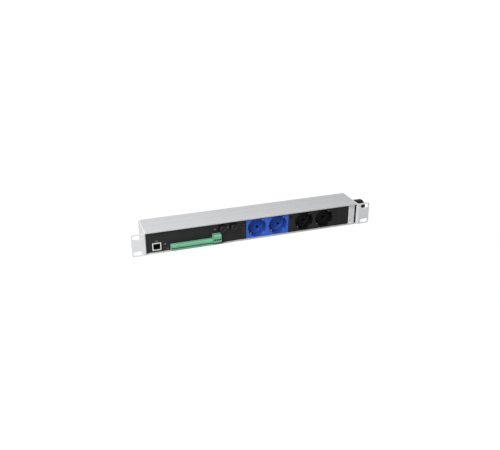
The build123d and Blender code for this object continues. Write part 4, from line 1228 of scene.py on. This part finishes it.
@dataclass
class Studio:
    """The floor, the light and the camera.

    Attributes:
        camera_at: The camera's place in metres.
        right: The camera's own right.
        up: The camera's own up.
        forward: Where the camera looks.
        lens: The focal length in millimetres on a 36 mm wide sensor.
        floor_z: The floor's height.
        floor_half: Half the floor's side.
        floor_near: The distances from the middle over which the floor turns from one that
            takes the object's shadow to plain white.
        floor_glow: The share of plain white in the floor near the object and far from it.
        glow_strength: The strength of that white.
        floor_tone: The floor's own grey.
        world_light: How strongly the surroundings light the object.
        lamps: The softboxes.
    """

    camera_at: Triple = (-0.3710, -1.0169, 0.4922)
    right: Triple = (0.9438, -0.3305, 0.0011)
    up: Triple = (0.1343, 0.3865, 0.9124)
    forward: Triple = (0.3020, 0.8610, -0.4092)
    lens: float = 44.49
    floor_z: float = -0.0222
    floor_half: float = 8.0
    floor_near: tuple[float, float] = (0.45, 1.3)
    floor_glow: tuple[float, float] = (0.78, 1.0)
    glow_strength: float = 1.21
    floor_tone: float = 0.45
    world_light: float = 0.21
    lamps: tuple[Softbox, ...] = (
        Softbox("key_softbox", (-0.75, -0.62, 0.98), size=0.8, power=21.5),
        Softbox("back_softbox", (0.4, 1.1, 1.4), size=1.2, power=3.0),
    )

    def add_camera(self) -> None:
        """Sets the camera at the photograph's viewing angle."""
        data = bpy.data.cameras.new("camera")
        data.sensor_width = 36.0
        data.sensor_fit = "HORIZONTAL"
        data.lens = self.lens
        data.clip_start = 0.01
        camera = bpy.data.objects.new("camera", data)
        back = -Vector(self.forward)
        columns = (Vector(self.right), Vector(self.up), back)
        turn = Matrix([[c[i] for c in columns] for i in range(3)])
        camera.matrix_world = Matrix.Translation(self.camera_at) @ turn.to_4x4()
        bpy.context.scene.collection.objects.link(camera)
        bpy.context.scene.camera = camera

    def add_floor(self) -> None:
        """Lays a white floor that keeps the object's shadow."""
        mesh = bpy.data.meshes.new("floor")
        half, z = self.floor_half, self.floor_z
        mesh.from_pydata([(-half, -half, z), (half, -half, z), (half, half, z), (-half, half, z)],
                         [], [(0, 1, 2, 3)])
        floor = bpy.data.objects.new("floor", mesh)
        bpy.context.scene.collection.objects.link(floor)
        graph = ShaderGraph("floor_white")
        path = graph.add("ShaderNodeLightPath")
        seen = graph.add("ShaderNodeMath", operation="MAXIMUM")
        graph.link(path.outputs["Is Camera Ray"], seen.inputs[0])
        graph.link(path.outputs["Is Glossy Ray"], seen.inputs[1])
        share = graph.add("ShaderNodeMath", operation="MULTIPLY")
        reach = graph.add("ShaderNodeVectorMath", operation="LENGTH")
        graph.link(graph.coordinates((1.0, 1.0, 0.0)), reach.inputs[0])
        fade = graph.add("ShaderNodeMapRange", interpolation_type="SMOOTHSTEP")
        put(fade, From_Min=self.floor_near[0], From_Max=self.floor_near[1],
            To_Min=self.floor_glow[0], To_Max=self.floor_glow[1])
        graph.link(reach.outputs["Value"], fade.inputs["Value"])
        graph.link(fade.outputs["Result"], share.inputs[1])
        graph.link(seen.outputs[0], share.inputs[0])
        glow = graph.add("ShaderNodeEmission")
        put(glow, Strength=self.glow_strength)
        mix = graph.add("ShaderNodeMixShader")
        put(graph.shader, Base_Color=(*(self.floor_tone,) * 3, 1.0), Roughness=0.9,
            Specular_IOR_Level=0.0)
        graph.link(share.outputs[0], mix.inputs["Fac"])
        graph.link(graph.shader.outputs["BSDF"], mix.inputs[1])
        graph.link(glow.outputs["Emission"], mix.inputs[2])
        graph.link(mix.outputs["Shader"], graph.tree.nodes["Material Output"].inputs["Surface"])
        mesh.materials.append(graph.material)
        floor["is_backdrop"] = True

    def add_world(self) -> None:
        """Surrounds the object with soft white light, white where it is seen."""
        world = bpy.data.worlds.new("studio_world")
        world.use_nodes = True
        tree = world.node_tree
        background = tree.nodes["Background"]
        path = tree.nodes.new("ShaderNodeLightPath")
        seen = path.outputs["Is Camera Ray"]
        for ray in ("Is Glossy Ray", "Is Transmission Ray"):
            either = tree.nodes.new("ShaderNodeMath")
            either.operation = "MAXIMUM"
            tree.links.new(seen, either.inputs[0])
            tree.links.new(path.outputs[ray], either.inputs[1])
            seen = either.outputs[0]
        strength = tree.nodes.new("ShaderNodeMapRange")
        put(strength, To_Min=self.world_light, To_Max=1.0)
        tree.links.new(seen, strength.inputs["Value"])
        tree.links.new(strength.outputs["Result"], background.inputs["Strength"])
        put(background, Color=(1.0, 1.0, 1.0, 1.0))
        bpy.context.scene.world = world

    def build(self) -> None:
        """Sets the whole studio."""
        bpy.context.scene.view_settings.view_transform = "Standard"
        self.add_camera()
        self.add_floor()
        self.add_world()
        for lamp in self.lamps:
            lamp.build()


def as_list(corners: Iterable[Vector]) -> list[list[float]]:
    """Two corners as plain numbers."""
    return [[float(v) for v in corner] for corner in corners]


def main() -> dict[str, list[list[float]]]:
    """Builds the studio and every sub-assembly in order.

    Returns:
        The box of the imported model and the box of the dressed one.
    """
    logging.basicConfig(level=logging.INFO, format="%(name)s: %(message)s")
    before = as_list(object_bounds())
    sections = (
        Studio(),
        Channel(),
        ControlSection(),
        SocketPair("blue", "socket_blue", "earth_copper"),
        SocketPair("black", "socket_black", "earth_nickel", "socket_black_floor_painted_shade"),
        FrontCovers(),
        CableGland(),
        Inside(),
    )
    for section in sections:
        log.info("building %s", type(section).__name__)
        section.build()
    return {"cad_box": before, "visual_box": as_list(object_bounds())}


if __name__ == "__main__":
    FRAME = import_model()
    sizes = main()
